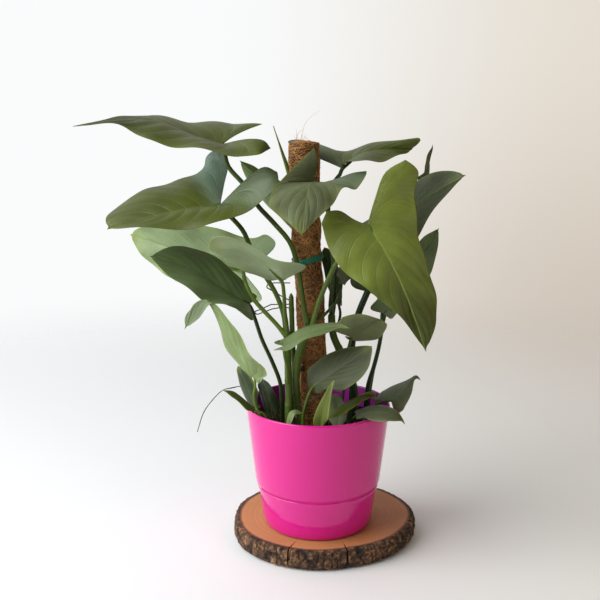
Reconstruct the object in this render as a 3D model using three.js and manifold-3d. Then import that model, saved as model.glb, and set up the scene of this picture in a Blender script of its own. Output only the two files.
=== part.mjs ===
// Potted philodendron hastatum: a climbing aroid on a coir pole, in a glossy pink pot
// that stands on a slice of log. Millimetres, +Z up. The origin is on the underside of
// the wood slice, on the pot's axis. Seen from the front, +X is to the right.
import * as THREE from "three";
import { mergeVertices } from "three/addons/utils/BufferGeometryUtils.js";
import Module from "manifold-3d";

const wasm = await Module();
wasm.setup();

// Driving dimensions
const GAP = 0.3; // clearance between pieces that touch
const WELD = 0.03; // corners closer than this become one
const SLICE_HEIGHT = 28;
const SLICE_CENTRE = [9, 15];
const SLICE_HALF = [129, 117]; // half width and half depth of the log slice
const POT_BASE = SLICE_HEIGHT + GAP;
const POT_HEIGHT = 172;
const POT_RIM_RADIUS = 100;
const POT_SHOULDER_RADIUS = 87.2;
const POT_SHOULDER_HEIGHT = 64; // above the pot's base
const POT_SEAM_HEIGHT = 58;
const POT_SEAM_RADIUS = 85.6;
const POT_SEAM_DEPTH = 0.8;
const POT_WAIST_RADIUS = 81.8;
const POT_WAIST_HEIGHT = 44;
const POT_BASE_RADIUS = 75.4;
const POT_WALL = 2.8;
const SOIL_TOP = 172;
const SOIL_RELIEF = 2.2;
const STEM_FOOT = 166; // where stems end, inside their holes in the soil
const POLE_RADII = [17.5, 19.8]; // at the foot and at the top
const POLE_LUMPS = [0.5, 0.4]; // height of its three-sided and five-sided unevenness
const POLE_PATH = [[-3, 0, 95], [-6, 0, 200], [-8, 0, 270], [-11, 0, 345], [-16, 0, 414], [-20, 0, 556]];
const FIBRE_COUNT = 9;
const FIBRE_LENGTH = [10, 44];
const BAND_WIDTH = 7;
const BAND_THICKNESS = 1;
const BAND_CENTRE = [-15, 0, 402];
const BAND_SLACK = 1;
const BAND_TILT = 0.21; // radians, its right side higher
const BLADE_THICKNESS = 0.9;
const BLADE_CAMBER = 0.07; // rise of a half blade between rib and margin, as a share of its width
const SINUS = 0.2; // where along a half blade the lobe ends and the rib begins
const LARGE_ROWS = [0, 0.05, 0.13, SINUS, 0.33, 0.48, 0.65, 0.82, 1]; // rows across a blade
const SMALL_ROWS = [0, 0.09, SINUS, 0.4, 0.6, 0.8, 1];

// Colours
const COLOURS = {
  wood: 0xb9804f,
  plastic: 0xe03c9c,
  soil: 0x2b2019,
  coir: 0x7d5230,
  band: 0x138a6b,
  wire: 0x1c1a18,
  root: 0x4a3a2c,
  vine: 0x5d7d2c,
  olive: 0x5f6f3c,
  silver: 0x78866c,
  dark: 0x3f5230,
  pale: 0xa3b88a,
};

// Climbing stems: points from the foot in the soil to the top, and radii at foot and top
const STEMS = {
  vine_front: { path: [[-34, -44, STEM_FOOT], [-40, -42, 190], [-40, -38, 217], [-41, -31, 254],
    [-42, -27, 284], [-43, -27, 311]], radii: [5.2, 4.4] },
  vine_left: { path: [[-33, -14, STEM_FOOT], [-38, -16, 212], [-33, -16, 253], [-35, -14, 288],
    [-36, -12, 319], [-37, -12, 357]], radii: [4, 3.4] },
  vine_pole: { path: [[-18, -32, STEM_FOOT], [-29, -28, 212], [-30, -28, 252], [-25, -28, 282],
    [-17, -29, 306], [-12, -29, 322]], radii: [4.4, 5.6] },
  vine_right: { path: [[50, 36, STEM_FOOT], [53, 30, 200], [48, 24, 228], [33, 15, 265],
    [21, 13, 293], [18, 12, 326]], radii: [4.6, 5.2] },
};

// Leaves. rib runs from the sinus to the tip. left and right run along the margin from the tip of
// the basal lobe towards the leaf's tip, as seen on the upper face with the tip away.
// stalk runs from the sinus down to what carries the leaf: a stem, another stalk or the soil.
const LEAVES = {
  leaf_top_left: {
    rib: [[-127, -5, 554], [-165, -3, 566], [-210, 0, 583], [-262, -5, 585], [-319, -10, 577]],
    left: [[-62, -42, 550], [-99, -66, 542], [-161, -60, 551], [-214, -46, 559], [-257, -22, 579]],
    right: [[-76, 38, 579], [-121, 60, 580], [-178, 60, 583], [-234, 44, 590], [-271, 10, 587]],
    leftInner: [[-72, -42, 560], [-94, -34, 561]],
    rightInner: [[-93, 30, 573], [-110, 14, 565]],
    stalk: [[-119, -10, 526], [-99, -15, 503], [-80, -20, 475], [-60, -25, 454], [-38, -31, 428],
      [-29, -35, 401], [-23, -36, 366], [-19, -34, 338], [-15, -30, 318]],
    radii: [3, 3.4], on: "vine_pole", colour: "olive" },
  leaf_left_large: {
    rib: [[-129, -20, 477], [-173, -28, 472], [-219, -34, 462], [-274, -40, 447]],
    left: [[-54, -38, 520], [-83, -56, 478], [-136, -66, 456], [-187, -62, 450], [-245, -50, 450]],
    right: [[-135, 30, 548], [-165, 36, 513], [-199, 32, 503], [-237, 18, 490], [-276, -16, 465]],
    leftInner: [[-72, -36, 526], [-96, -28, 509]],
    rightInner: [[-122, 26, 527], [-126, 8, 500]],
    stalk: [[-125, -17, 469], [-116, -15, 460], [-100, -14, 441], [-91, -14, 420], [-76, -14, 389],
      [-57, -14, 356], [-47, -15, 327], [-44, -19, 298], [-41, -29, 268]],
    radii: [3, 3.4], on: "vine_front", colour: "olive" },
  leaf_left_pale: {
    rib: [[-103, 16, 381], [-156, 34, 393], [-212, 42, 413], [-261, 44, 429]],
    left: [[-62, 26, 425], [-100, 44, 425], [-148, 52, 438], [-199, 52, 447], [-244, 46, 439]],
    right: [[-86, 34, 335], [-129, 46, 344], [-189, 52, 359], [-227, 52, 380], [-251, 48, 406]],
    stalk: [[-101, 4, 377], [-97, -8, 367], [-87, -14, 349], [-73, -20, 334], [-57, -26, 318],
      [-43, -28, 301]],
    radii: [2.6, 3], on: "vine_front", colour: "pale" },
  leaf_left_dark: {
    rib: [[-93, -4, 340], [-129, -16, 365], [-170, -26, 394], [-221, -36, 411]],
    left: [[-96, -40, 331], [-120, -56, 349], [-149, -62, 358], [-180, -56, 379], [-206, -46, 397]],
    right: [[-88, 4, 353], [-107, 5, 376], [-134, 6, 399], [-168, 0, 417], [-200, -16, 419]],
    stalk: [[-87, 4, 319], [-77, 2, 289], [-63, -4, 259], [-52, -12, 231], [-50, -18, 205],
      [-49, -21, STEM_FOOT]],
    radii: [2.6, 3], on: "soil", colour: "dark" },
  leaf_front_left: {
    rib: [[-48, -50, 381], [-68, -60, 403], [-96, -70, 423], [-141, -76, 428]],
    left: [[-20, -62, 404], [-50, -86, 413], [-77, -100, 429], [-108, -102, 445], [-132, -88, 442]],
    right: [[-46, -20, 378], [-65, -26, 378], [-90, -38, 388], [-113, -50, 404], [-132, -66, 421]],
    stalk: [[-46, -44, 362], [-45, -36, 336], [-43, -29, 318], [-43, -27, 308]],
    radii: [2.2, 3], on: "vine_front", colour: "silver" },
  leaf_centre_arched: {
    rib: [[-7, -30, 503], [-10, -50, 508], [-14, -74, 505], [-19, -92, 478], [-23, -98, 446]],
    left: [[61, -20, 520], [47, -50, 501], [27, -70, 500], [14, -86, 482], [-9, -95, 462]],
    right: [[-6, -32, 550], [-51, -62, 509], [-61, -80, 495], [-61, -89, 479], [-40, -95, 463]],
    leftInner: [[43, -16, 517], [22, -22, 510]],
    rightInner: [[-3, -35, 535], [-6, -34, 518]],
    stalk: [[4, -14, 487], [12, -6, 465], [18, 2, 427], [20, 6, 385], [17, 7, 338], [18, 10, 326]],
    radii: [2.6, 3], on: "vine_right", colour: "silver" },
  leaf_centre_back: {
    rib: [[-25, 42, 455], [-66, 52, 492], [-108, 56, 530]],
    left: [[-38, 50, 437], [-60, 60, 458], [-81, 64, 477], [-99, 62, 503]],
    right: [[-12, 60, 469], [-33, 64, 488], [-61, 66, 506], [-86, 62, 520]],
    stalk: [[-25, 36, 422], [-21, 32, 367], [-17, 30, 296], [-15, 29, 223], [0, 34, STEM_FOOT]],
    radii: [2.4, 3], on: "soil", colour: "dark" },
  leaf_top_right: {
    rib: [[30, 2, 523], [55, 4, 541], [88, 6, 547], [123, 10, 546]],
    left: [[-39, 44, 557], [0, 58, 551], [36, 48, 544], [76, 38, 553], [119, 22, 561],
      [134, 12, 559]],
    right: [[31, -16, 531], [35, -34, 535], [59, -42, 533], [85, -30, 535], [111, -4, 541]],
    stalk: [[28, 6, 514], [22, 10, 506], [14, 20, 479], [16, 20, 431], [22, 20, 383],
      [22, 19, 340], [19, 15, 322]],
    radii: [2.6, 3.2], on: "vine_right", colour: "olive" },
  leaf_right_large: {
    rib: [[60, -62, 455], [82, -76, 423], [107, -88, 373], [135, -92, 297]],
    left: [[110, -30, 535], [122, -48, 479], [127, -62, 433], [145, -78, 377], [147, -88, 336]],
    right: [[9, -50, 471], [5, -64, 446], [23, -82, 407], [60, -92, 377], [103, -96, 341]],
    leftInner: [[83, -42, 519], [70, -54, 488]],
    rightInner: [[26, -54, 472], [43, -60, 462]],
    stalk: [[51, -58, 447], [42, -52, 435], [22, -44, 403], [6, -40, 367], [-3, -38, 342],
      [-8, -34, 322], [-12, -29, 306]],
    radii: [3, 3.4], on: "vine_pole", colour: "olive" },
  leaf_right_back: {
    rib: [[78, 32, 425], [115, 38, 456], [156, 42, 485], [202, 44, 511]],
    left: [[59, 36, 352], [95, 44, 342], [126, 52, 399], [153, 50, 450], [181, 46, 489]],
    right: [[45, 60, 422], [86, 66, 459], [117, 62, 487], [149, 54, 510], [181, 48, 516]],
    stalk: [[77, 26, 393], [72, 24, 363], [55, 19, 319], [47, 12, 277], [48, 4, 219],
      [46, -2, STEM_FOOT]],
    radii: [4.2, 5], on: "soil", colour: "silver" },
  leaf_right_low: {
    rib: [[91, 30, 319], [114, 34, 352], [141, 38, 397], [167, 42, 438]],
    left: [[77, 20, 337], [85, 18, 361], [111, 22, 394], [137, 30, 420], [154, 36, 432]],
    right: [[111, 46, 317], [134, 52, 334], [153, 52, 363], [164, 50, 389], [167, 46, 417]],
    stalk: [[90, 28, 305], [86, 26, 275], [79, 24, 245], [71, 22, 217], [66, 20, STEM_FOOT]],
    radii: [2.6, 3.4], on: "soil", colour: "dark" },
  leaf_right_small: {
    rib: [[46, -6, 294], [61, -10, 305], [77, -14, 317], [93, -14, 315]],
    left: [[22, -24, 318], [33, -30, 329], [49, -30, 332], [68, -26, 329], [82, -18, 323]],
    right: [[37, -2, 294], [52, 2, 287], [69, 4, 287], [84, 0, 293], [91, -8, 305]],
    stalk: [[42, -2, 281], [37, 0, 258], [36, 0, 225], [28, -12, STEM_FOOT]],
    radii: [1.8, 2.2], on: "soil", colour: "silver" },
  leaf_front_glaucous: {
    rib: [[-46, -62, 297], [-25, -72, 312], [6, -80, 325], [38, -88, 327]],
    left: [[-57, -50, 300], [-47, -44, 302], [-30, -50, 315], [-3, -62, 325], [21, -76, 332]],
    right: [[-55, -76, 295], [-40, -92, 300], [-21, -98, 312], [0, -98, 321], [22, -92, 327]],
    stalk: [[-45, -54, 281], [-42, -46, 263], [-41, -36, 239]],
    radii: [1.8, 2.4], on: "vine_front", colour: "pale" },
  leaf_front_low: {
    rib: [[-7, -56, 241], [17, -64, 260], [42, -72, 280], [68, -76, 301]],
    left: [[-14, -42, 243], [-13, -38, 259], [6, -40, 276], [30, -50, 290], [53, -66, 298]],
    right: [[6, -74, 240], [28, -84, 243], [48, -90, 257], [62, -88, 275], [67, -80, 290]],
    stalk: [[-12, -52, 231], [-17, -50, 215], [-21, -50, 195], [-17, -52, STEM_FOOT]],
    radii: [2, 2.4], on: "soil", colour: "silver" },
  leaf_hanging_pale: {
    rib: [[-86, -66, 258], [-101, -72, 281], [-120, -78, 322], [-139, -78, 358], [-159, -76, 356],
      [-173, -72, 322]],
    left: [[-92, -56, 256], [-104, -52, 267], [-119, -54, 287], [-130, -64, 322], [-142, -74, 357],
      [-170, -72, 342]],
    right: [[-77, -74, 253], [-70, -84, 271], [-90, -90, 296], [-109, -88, 330], [-135, -80, 357],
      [-155, -79, 337]],
    stalk: [[-84, -62, 243], [-86, -58, 229], [-82, -52, 208], [-72, -50, 186],
      [-62, -46, STEM_FOOT]],
    radii: [1.6, 1.8], on: "soil", colour: "pale" },
  leaf_crinkled: { small: true,
    rib: [[33, 18, 365], [38, 14, 381], [43, 12, 401]],
    left: [[28, 12, 369], [25, 8, 378], [28, 6, 388], [37, 10, 398]],
    right: [[38, 24, 364], [45, 28, 370], [49, 26, 382], [48, 20, 394]],
    stalk: [[31, 14, 356], [24, 0, 342], [12, -14, 332], [1, -20, 323],
      [-11, -26, 319]],
    radii: [1.8, 2.2], on: "vine_pole", colour: "silver" },
  leaf_upright_back: { small: true,
    rib: [[30, 28, 331], [21, 30, 368], [8, 28, 414]],
    left: [[27, 24, 335], [16, 25, 352], [8, 24, 380], [4, 26, 402]],
    right: [[33, 36, 334], [34, 40, 349], [30, 42, 379], [18, 36, 406]],
    stalk: [[31, 26, 321], [28, 19, 308], [20, 13, 298]],
    radii: [1.8, 2.2], on: "vine_right", colour: "dark" },
  leaf_thin_right: { small: true,
    rib: [[141, 78, 453], [153, 80, 522], [161, 82, 550]],
    left: [[152, 72, 499], [149, 68, 516], [150, 70, 530], [157, 77, 543]],
    right: [[156, 86, 498], [158, 92, 514], [159, 91, 528], [161, 86, 544]],
    stalk: [[134, 74, 423], [115, 68, 368], [97, 62, 310], [88, 52, 268], [78, 44, 220],
      [70, 42, STEM_FOOT]],
    radii: [1.8, 2.4], on: "soil", colour: "silver" },
  leaf_low_right_upper: { small: true,
    rib: [[101, -4, 204], [116, -2, 218], [132, 0, 235], [142, 0, 232]],
    left: [[86, 22, 203], [97, 24, 211], [115, 16, 223], [129, 8, 233], [137, 4, 237]],
    right: [[112, -14, 189], [121, -17, 203], [128, -13, 218], [133, -4, 232], [138, -2, 235]],
    stalk: [[93, -3, 203], [80, 0, 196], [70, 2, 182], [66, 3, STEM_FOOT]],
    radii: [1.6, 2], on: "soil", colour: "silver" },
  leaf_low_right_over: { small: true,
    rib: [[50, -62, 203], [75, -72, 210], [97, -80, 209], [112, -82, 197]],
    left: [[54, -46, 204], [69, -44, 209], [86, -50, 213], [100, -66, 211], [108, -76, 205]],
    right: [[55, -76, 203], [66, -84, 204], [81, -90, 203], [95, -90, 204], [106, -86, 203]],
    stalk: [[43, -50, 189], [38, -42, 180], [35, -38, STEM_FOOT]],
    radii: [1.6, 2], on: "soil", colour: "silver" },
  leaf_low_arching: { small: true,
    rib: [[77, -28, 217], [59, -42, 223], [33, -60, 215], [8, -72, 201]],
    left: [[78, -34, 215], [63, -50, 220], [43, -68, 213], [25, -74, 204]],
    right: [[77, -24, 220], [66, -38, 227], [43, -50, 220], [23, -62, 211]],
    stalk: [[79, -22, 208], [70, -18, 192], [62, -20, 178], [60, -20, STEM_FOOT]],
    radii: [1.5, 1.8], on: "soil", colour: "olive" },
  leaf_low_upright_olive: { small: true,
    rib: [[1, -80, 188], [6, -85, 224], [19, -92, 261]],
    left: [[-4, -78, 187], [-8, -78, 199], [-1, -80, 222], [10, -86, 246]],
    right: [[5, -84, 189], [11, -92, 207], [13, -94, 229], [17, -94, 250]],
    stalk: [[0, -78, 181], [-1, -76, 175], [-2, -74, STEM_FOOT]],
    radii: [1.6, 1.8], on: "soil", colour: "olive" },
  leaf_low_upright_grey: { small: true,
    rib: [[26, -58, 184], [26, -50, 203], [22, -44, 227]],
    left: [[19, -54, 184], [13, -48, 192], [11, -44, 206], [15, -43, 221]],
    right: [[31, -62, 186], [36, -60, 196], [36, -54, 210], [30, -48, 222]],
    stalk: [[24, -56, 178], [22, -54, 174], [21, -52, STEM_FOOT]],
    radii: [1.6, 1.8], on: "soil", colour: "silver" },
  leaf_low_tiny: { small: true,
    rib: [[-39, -80, 196], [-34, -77, 211], [-22, -72, 209]],
    left: [[-42, -78, 195], [-42, -76, 201], [-39, -74, 210], [-30, -71, 213]],
    right: [[-37, -82, 195], [-35, -84, 203], [-31, -82, 210], [-26, -76, 209]],
    stalk: [[-40, -76, 186], [-39, -72, 176], [-38, -70, STEM_FOOT]],
    radii: [1.4, 1.6], on: "soil", colour: "pale" },
  leaf_low_left_upright: { small: true,
    rib: [[-84, -44, 205], [-95, -40, 230], [-108, -38, 264]],
    left: [[-90, -40, 208], [-99, -32, 216], [-106, -28, 235], [-110, -32, 253]],
    right: [[-81, -46, 212], [-80, -48, 229], [-88, -48, 247], [-99, -44, 260]],
    stalk: [[-80, -38, 195], [-75, -32, 180], [-72, -28, STEM_FOOT]],
    radii: [1.8, 2], on: "soil", colour: "dark" },
  leaf_low_left_drooping: { small: true,
    rib: [[-86, -60, 209], [-104, -58, 224], [-127, -56, 235]],
    left: [[-88, -66, 208], [-96, -70, 213], [-109, -68, 226], [-120, -62, 232]],
    right: [[-88, -54, 212], [-95, -50, 216], [-105, -50, 226], [-117, -52, 233]],
    stalk: [[-81, -58, 206], [-74, -56, 203], [-66, -56, 186], [-63, -56, STEM_FOOT]],
    radii: [1.6, 1.8], on: "soil", colour: "olive" },
  leaf_low_narrow: { small: true,
    rib: [[-68, -36, 195], [-74, -32, 218], [-80, -28, 241]],
    left: [[-72, -34, 196], [-76, -29, 209], [-80, -26, 223], [-82, -26, 233]],
    right: [[-65, -38, 200], [-65, -40, 215], [-71, -38, 230], [-78, -32, 238]],
    stalk: [[-64, -34, 186], [-60, -31, 178], [-58, -30, STEM_FOOT]],
    radii: [1.5, 1.7], on: "soil", colour: "dark" },
  leaf_low_dark: { small: true,
    rib: [[-61, -8, 192], [-69, -6, 211], [-77, -4, 236]],
    left: [[-66, -3, 188], [-73, 3, 202], [-78, 6, 216], [-80, 0, 228]],
    right: [[-55, -12, 190], [-55, -16, 208], [-63, -16, 226], [-72, -10, 234]],
    stalk: [[-58, -9, 184], [-55, -8, 176], [-53, -7, STEM_FOOT]],
    radii: [1.6, 1.9], on: "soil", colour: "dark" },
};

// Slim round pieces: the furled new leaf, roots and wire ties, each with the pieces it is seated on
const SLIM = {
  leaf_spear: { path: [[-60, 8, 577], [-50, 14, 546], [-40, 20, 516], [-31, 29, 478], [-26, 33, 440],
    [-23, 34, 395]], radii: [0.6, 2.6], sides: 6, seats: ["leaf_centre_back"], colour: "vine" },
  aerial_root_dry: { path: [[-163, -48, 174], [-154, -48, 201], [-143, -46, 217], [-128, -43, 231],
    [-117, -40, 233], [-103, -24, 230], [-94, -16, 220], [-82, -12, 196], [-76, -10, STEM_FOOT]],
    radii: [0.5, 0.9], sides: 4, seats: ["soil"], colour: "root" },
  aerial_root_front: { path: [[-28, -32, 205], [-17, -38, 212], [2, -38, 221]], radii: [1.4, 0.9],
    sides: 4, seats: ["vine_pole"], colour: "root" },
  aerial_root_thick: { path: [[-36, -16, 246], [-22, -12, 252], [-10, -6, 254]], radii: [3.6, 3],
    sides: 6, seats: ["vine_left", "coir_pole"], colour: "root" },
  tie_upper: { path: [[-38, -12, 371], [-60, -6, 370], [-69, -3, 367], [-70, -3, 363], [-50, -7, 352],
    [-37, -12, 346]], radii: [0.8, 0.8], sides: 4, seats: ["vine_left"], colour: "wire" },
  tie_lower: { path: [[-36, -12, 342], [-47, -9, 341], [-64, 0, 339], [-80, 7.6, 330],
    [-88, 8.4, 327], [-84, 8, 323], [-62, 0, 333], [-47, -8, 337], [-36, -12, 336]],
    radii: [0.8, 0.8], sides: 4, seats: ["vine_left", "leaf_left_dark"], colour: "wire" },
};

// Geometry helpers
const vec = (p) => new THREE.Vector3(...p);
const mix = (a, b, t) => a + (b - a) * t;

function solidFrom(geometry) {
  const bare = geometry.clone();
  bare.deleteAttribute("normal");
  bare.deleteAttribute("uv");
  const merged = mergeVertices(bare, 1e-4);
  return new wasm.Manifold(
    new wasm.Mesh({
      numProp: 3,
      vertProperties: merged.attributes.position.array,
      triVerts: new Uint32Array(merged.index.array),
    }),
  );
}

// A solid's surface, with corners closer than the weld distance joined into one.
function geometryFrom(solid) {
  const mesh = solid.getMesh();
  const geometry = new THREE.BufferGeometry();
  geometry.setAttribute("position", new THREE.BufferAttribute(mesh.vertProperties, 3));
  geometry.setIndex(new THREE.BufferAttribute(mesh.triVerts, 1));
  const welded = mergeVertices(geometry, WELD);
  const kept = [];
  const corners = welded.index.array;
  for (let i = 0; i < corners.length; i += 3) {
    const triangle = corners.slice(i, i + 3);
    if (new Set(triangle).size === 3) kept.push(...triangle);
  }
  welded.setIndex(kept);
  return welded.toNonIndexed();
}

function geometryOf(points, triangles) {
  const geometry = new THREE.BufferGeometry().setFromPoints(points);
  geometry.setIndex(triangles.flat());
  return geometry;
}

// Keeps the largest body of a cut solid, so that no loose scrap stays.
function largest(solid) {
  return solid.decompose().reduce((a, b) => (b.volume() > a.volume() ? b : a));
}

// A smooth curve through points at given knots, as cubic spans with central slopes.
function curveAt(knots, points, u) {
  const last = points.length - 1;
  const slope = (i) => {
    if (i === 0) return points[1].clone().sub(points[0]).divideScalar(knots[1] - knots[0]);
    if (i === last) {
      return points[last].clone().sub(points[last - 1]).divideScalar(knots[last] - knots[last - 1]);
    }
    const before = knots[i] - knots[i - 1];
    const after = knots[i + 1] - knots[i];
    const back = points[i].clone().sub(points[i - 1]).multiplyScalar(after / before);
    const ahead = points[i + 1].clone().sub(points[i]).multiplyScalar(before / after);
    return back.add(ahead).divideScalar(before + after);
  };
  let i = 0;
  while (i < last - 1 && u >= knots[i + 1]) i += 1;
  const span = knots[i + 1] - knots[i];
  const t = (u - knots[i]) / span;
  return new THREE.Vector3()
    .addScaledVector(points[i], (1 + 2 * t) * (1 - t) ** 2)
    .addScaledVector(slope(i), span * t * (1 - t) ** 2)
    .addScaledVector(points[i + 1], t * t * (3 - 2 * t))
    .addScaledVector(slope(i + 1), span * t * t * (t - 1));
}

const bezier = (a, b, c, d, t) =>
  new THREE.CubicBezierCurve3(a, b, c, d).getPoint(t);

// The two edges of a half blade at u from 0 at the lobe's tip to 1 at the leaf's tip. The inner
// edge is the lobe's inner margin up to the sinus, then the rib. The lobe's tip is round. Where
// waypoints are given, the lobe's inner margin is a curve through them.
function bladeEdges(rib, margin, waypoints) {
  const tip = rib.at(-1);
  const outer = [...margin, tip];
  const [lobe, bulge] = outer;
  const sinus = rib[0];
  const axis = lobe.clone().sub(sinus);
  const wide = bulge.clone().sub(sinus);
  const side = wide.clone().addScaledVector(axis, -wide.dot(axis) / axis.lengthSq()).normalize();
  const steps = outer.length - 2;
  const outerKnots = outer.map((_, k) => (k === 0 ? 0 : mix(SINUS, 1, (k - 1) / steps)));
  const ribKnots = rib.map((_, k) => mix(SINUS, 1, k / (rib.length - 1)));
  const ahead = curveAt(outerKnots, outer, SINUS + 1e-3);
  const slope = ahead.sub(bulge).multiplyScalar(1e3);
  const out1 = lobe.clone().addScaledVector(side, 0.3 * wide.length());
  const out2 = bulge.clone().addScaledVector(slope, -SINUS / 3);
  const in1 = lobe.clone().addScaledVector(side, -0.22 * wide.length());
  const in2 = sinus.clone().addScaledVector(axis, 0.45).addScaledVector(side, -0.06 * axis.length());
  const stops = [lobe, ...waypoints, sinus];
  const stopKnots = stops.map((_, k) => mix(0, SINUS, k / (stops.length - 1)));
  const lobeInner = (u) =>
    waypoints.length ? curveAt(stopKnots, stops, u) : bezier(lobe, in1, in2, sinus, u / SINUS);
  return (u) => {
    if (u < SINUS) return [lobeInner(u), bezier(lobe, out1, out2, bulge, u / SINUS)];
    return [curveAt(ribKnots, rib, u), curveAt(outerKnots, outer, u)];
  };
}

// The edges of a leaf's half on one side, "left" or "right".
function halfEdges(leaf, side) {
  return bladeEdges(leaf.rib.map(vec), leaf[side].map(vec), (leaf[`${side}Inner`] ?? []).map(vec));
}

// The upward normal of a half blade at u; hand is 1 on the right half and -1 on the left.
function bladeNormal(edges, u, hand) {
  const w = THREE.MathUtils.clamp(u, 0.03, 0.97);
  const [inner, outer] = edges(w);
  const [inner2, outer2] = edges(w + 0.02);
  const along = inner2.sub(inner).add(outer2.sub(outer));
  return outer.clone().sub(inner).cross(along).multiplyScalar(hand).normalize();
}

// The blade's middle surface: two half blades that share the rib, on rows across the leaf.
function bladeSurface(leaf) {
  const rows = leaf.small ? SMALL_ROWS : LARGE_ROWS;
  const columns = 2;
  const points = [];
  const triangles = [];
  const shared = new Map();
  const add = (key, point) => {
    if (!shared.has(key)) {
      shared.set(key, points.length);
      points.push(point);
    }
    return shared.get(key);
  };
  for (const hand of [-1, 1]) {
    const edges = halfEdges(leaf, hand > 0 ? "right" : "left");
    const index = rows.map((u, i) => {
      const [inner, outer] = edges(u);
      const rise = bladeNormal(edges, u, hand).multiplyScalar(BLADE_CAMBER * inner.distanceTo(outer));
      return Array.from({ length: columns + 1 }, (_, j) => {
        const v = j / columns;
        const point = inner.clone().lerp(outer, v).addScaledVector(rise, 4 * v * (1 - v));
        if (i === rows.length - 1) return add("tip", point);
        if (i === 0) return add(`lobe ${hand}`, point);
        if (j === 0 && u >= SINUS) return add(`rib ${i}`, point);
        return add(`${hand} ${i} ${j}`, point);
      });
    });
    for (let i = 0; i < rows.length - 1; i += 1) {
      for (let j = 0; j < columns; j += 1) {
        const [a, b, c, d] = [index[i][j], index[i][j + 1], index[i + 1][j + 1], index[i + 1][j]];
        const pair = [[a, b, c], [a, c, d]].map((t) => (hand > 0 ? t : [t[0], t[2], t[1]]));
        triangles.push(...pair.filter((t) => new Set(t).size === 3));
      }
    }
  }
  return { points, triangles };
}

// A closed sheet of even thickness about a surface, with a wall round its edge.
function thicken({ points, triangles }, thickness) {
  const surface = geometryOf(points, triangles);
  surface.computeVertexNormals();
  const normals = surface.attributes.normal;
  const normalAt = (i) => new THREE.Vector3().fromBufferAttribute(normals, i);
  const offset = (side) =>
    points.map((p, i) =>
      p.clone().addScaledVector(normalAt(i), (side * thickness) / 2),
    );
  const under = points.length;
  const faces = triangles.flatMap(([a, b, c]) => [[a, b, c], [a + under, c + under, b + under]]);
  const used = new Set(triangles.flatMap(([a, b, c]) => [`${a} ${b}`, `${b} ${c}`, `${c} ${a}`]));
  for (const edge of used) {
    const [a, b] = edge.split(" ").map(Number);
    if (!used.has(`${b} ${a}`)) faces.push([a, a + under, b + under], [a, b + under, b]);
  }
  return geometryOf([...offset(1), ...offset(-1)], faces);
}

// A closed round tube along a smooth path, with rings at the given shares of its length and its
// radius as a function of the share. grow makes it that much larger all round and at both ends.
function tube(path, radiusAt, sides, shares, grow = 0) {
  const curve = new THREE.CatmullRomCurve3(path.map(vec), false, "centripetal");
  const points = [];
  const last = shares.length - 1;
  const normal = new THREE.Vector3(0.3, 1, 0.2);
  shares.forEach((t, i) => {
    const along = curve.getTangentAt(t);
    normal.addScaledVector(along, -normal.dot(along)).normalize();
    const across = along.clone().cross(normal);
    const centre = curve.getPointAt(t);
    if (i === 0) centre.addScaledVector(along, -grow);
    if (i === last) centre.addScaledVector(along, grow);
    for (let k = 0; k < sides; k += 1) {
      const angle = (2 * Math.PI * k) / sides;
      const radius = radiusAt(t, angle) + grow;
      points.push(
        centre.clone()
          .addScaledVector(normal, radius * Math.cos(angle))
          .addScaledVector(across, radius * Math.sin(angle)),
      );
    }
  });
  const ring = (i, k) => i * sides + (k % sides);
  const faces = [];
  for (let i = 0; i < last; i += 1) {
    for (let k = 0; k < sides; k += 1) {
      faces.push([ring(i, k), ring(i, k + 1), ring(i + 1, k + 1)]);
      faces.push([ring(i, k), ring(i + 1, k + 1), ring(i + 1, k)]);
    }
  }
  for (let k = 1; k < sides - 1; k += 1) {
    faces.push([ring(0, 0), ring(0, k + 1), ring(0, k)]);
    faces.push([ring(last, 0), ring(last, k), ring(last, k + 1)]);
  }
  return solidFrom(geometryOf(points, faces));
}

const even = (steps) => Array.from({ length: steps + 1 }, (_, i) => i / steps);
const taper = ([from, to]) => (t) => mix(from, to, t);

// Pieces
const solids = {};
const growth = {}; // the same slim pieces, grown by the clearance, that cut seats and holes

function makeStem(name, { path, radii }) {
  solids[name] = tube(path, taper(radii), 8, even(9));
  growth[name] = tube(path, taper(radii), 8, even(9), GAP);
}

function makePole() {
  const lumpy = (t, angle) => mix(...POLE_RADII, t)
    + POLE_LUMPS[0] * Math.sin(3 * angle + 21 * t) + POLE_LUMPS[1] * Math.cos(5 * angle - 34 * t);
  const random = seeded(7);
  let pole = tube(POLE_PATH, lumpy, 16, even(14));
  for (let i = 0; i < FIBRE_COUNT; i += 1) {
    const angle = 2 * Math.PI * random();
    const reach = mix(2, POLE_RADII[1] - 3, random());
    const length = i === 0 ? FIBRE_LENGTH[1] : mix(FIBRE_LENGTH[0], 0.5 * FIBRE_LENGTH[1], random());
    const lean = mix(-0.35, 0.5, random());
    const [x, y, z] = POLE_PATH.at(-1);
    const at = (rise, out) => [x + Math.cos(angle) * out, y + Math.sin(angle) * out, z + rise];
    pole = pole.add(tube(
      [at(-3, reach), at(length / 2, reach + lean * length * 0.4), at(length, reach + lean * length)],
      taper([0.7, 0.45]), 3, even(3),
    ));
  }
  solids.coir_pole = pole;
  growth.coir_pole = tube(POLE_PATH, (t, angle) => lumpy(t, angle) + 0.1, 16, even(14), GAP);
}

// A small repeatable random source.
function seeded(seed) {
  let state = seed;
  return () => {
    state = (state * 16807) % 2147483647;
    return state / 2147483647;
  };
}

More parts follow.
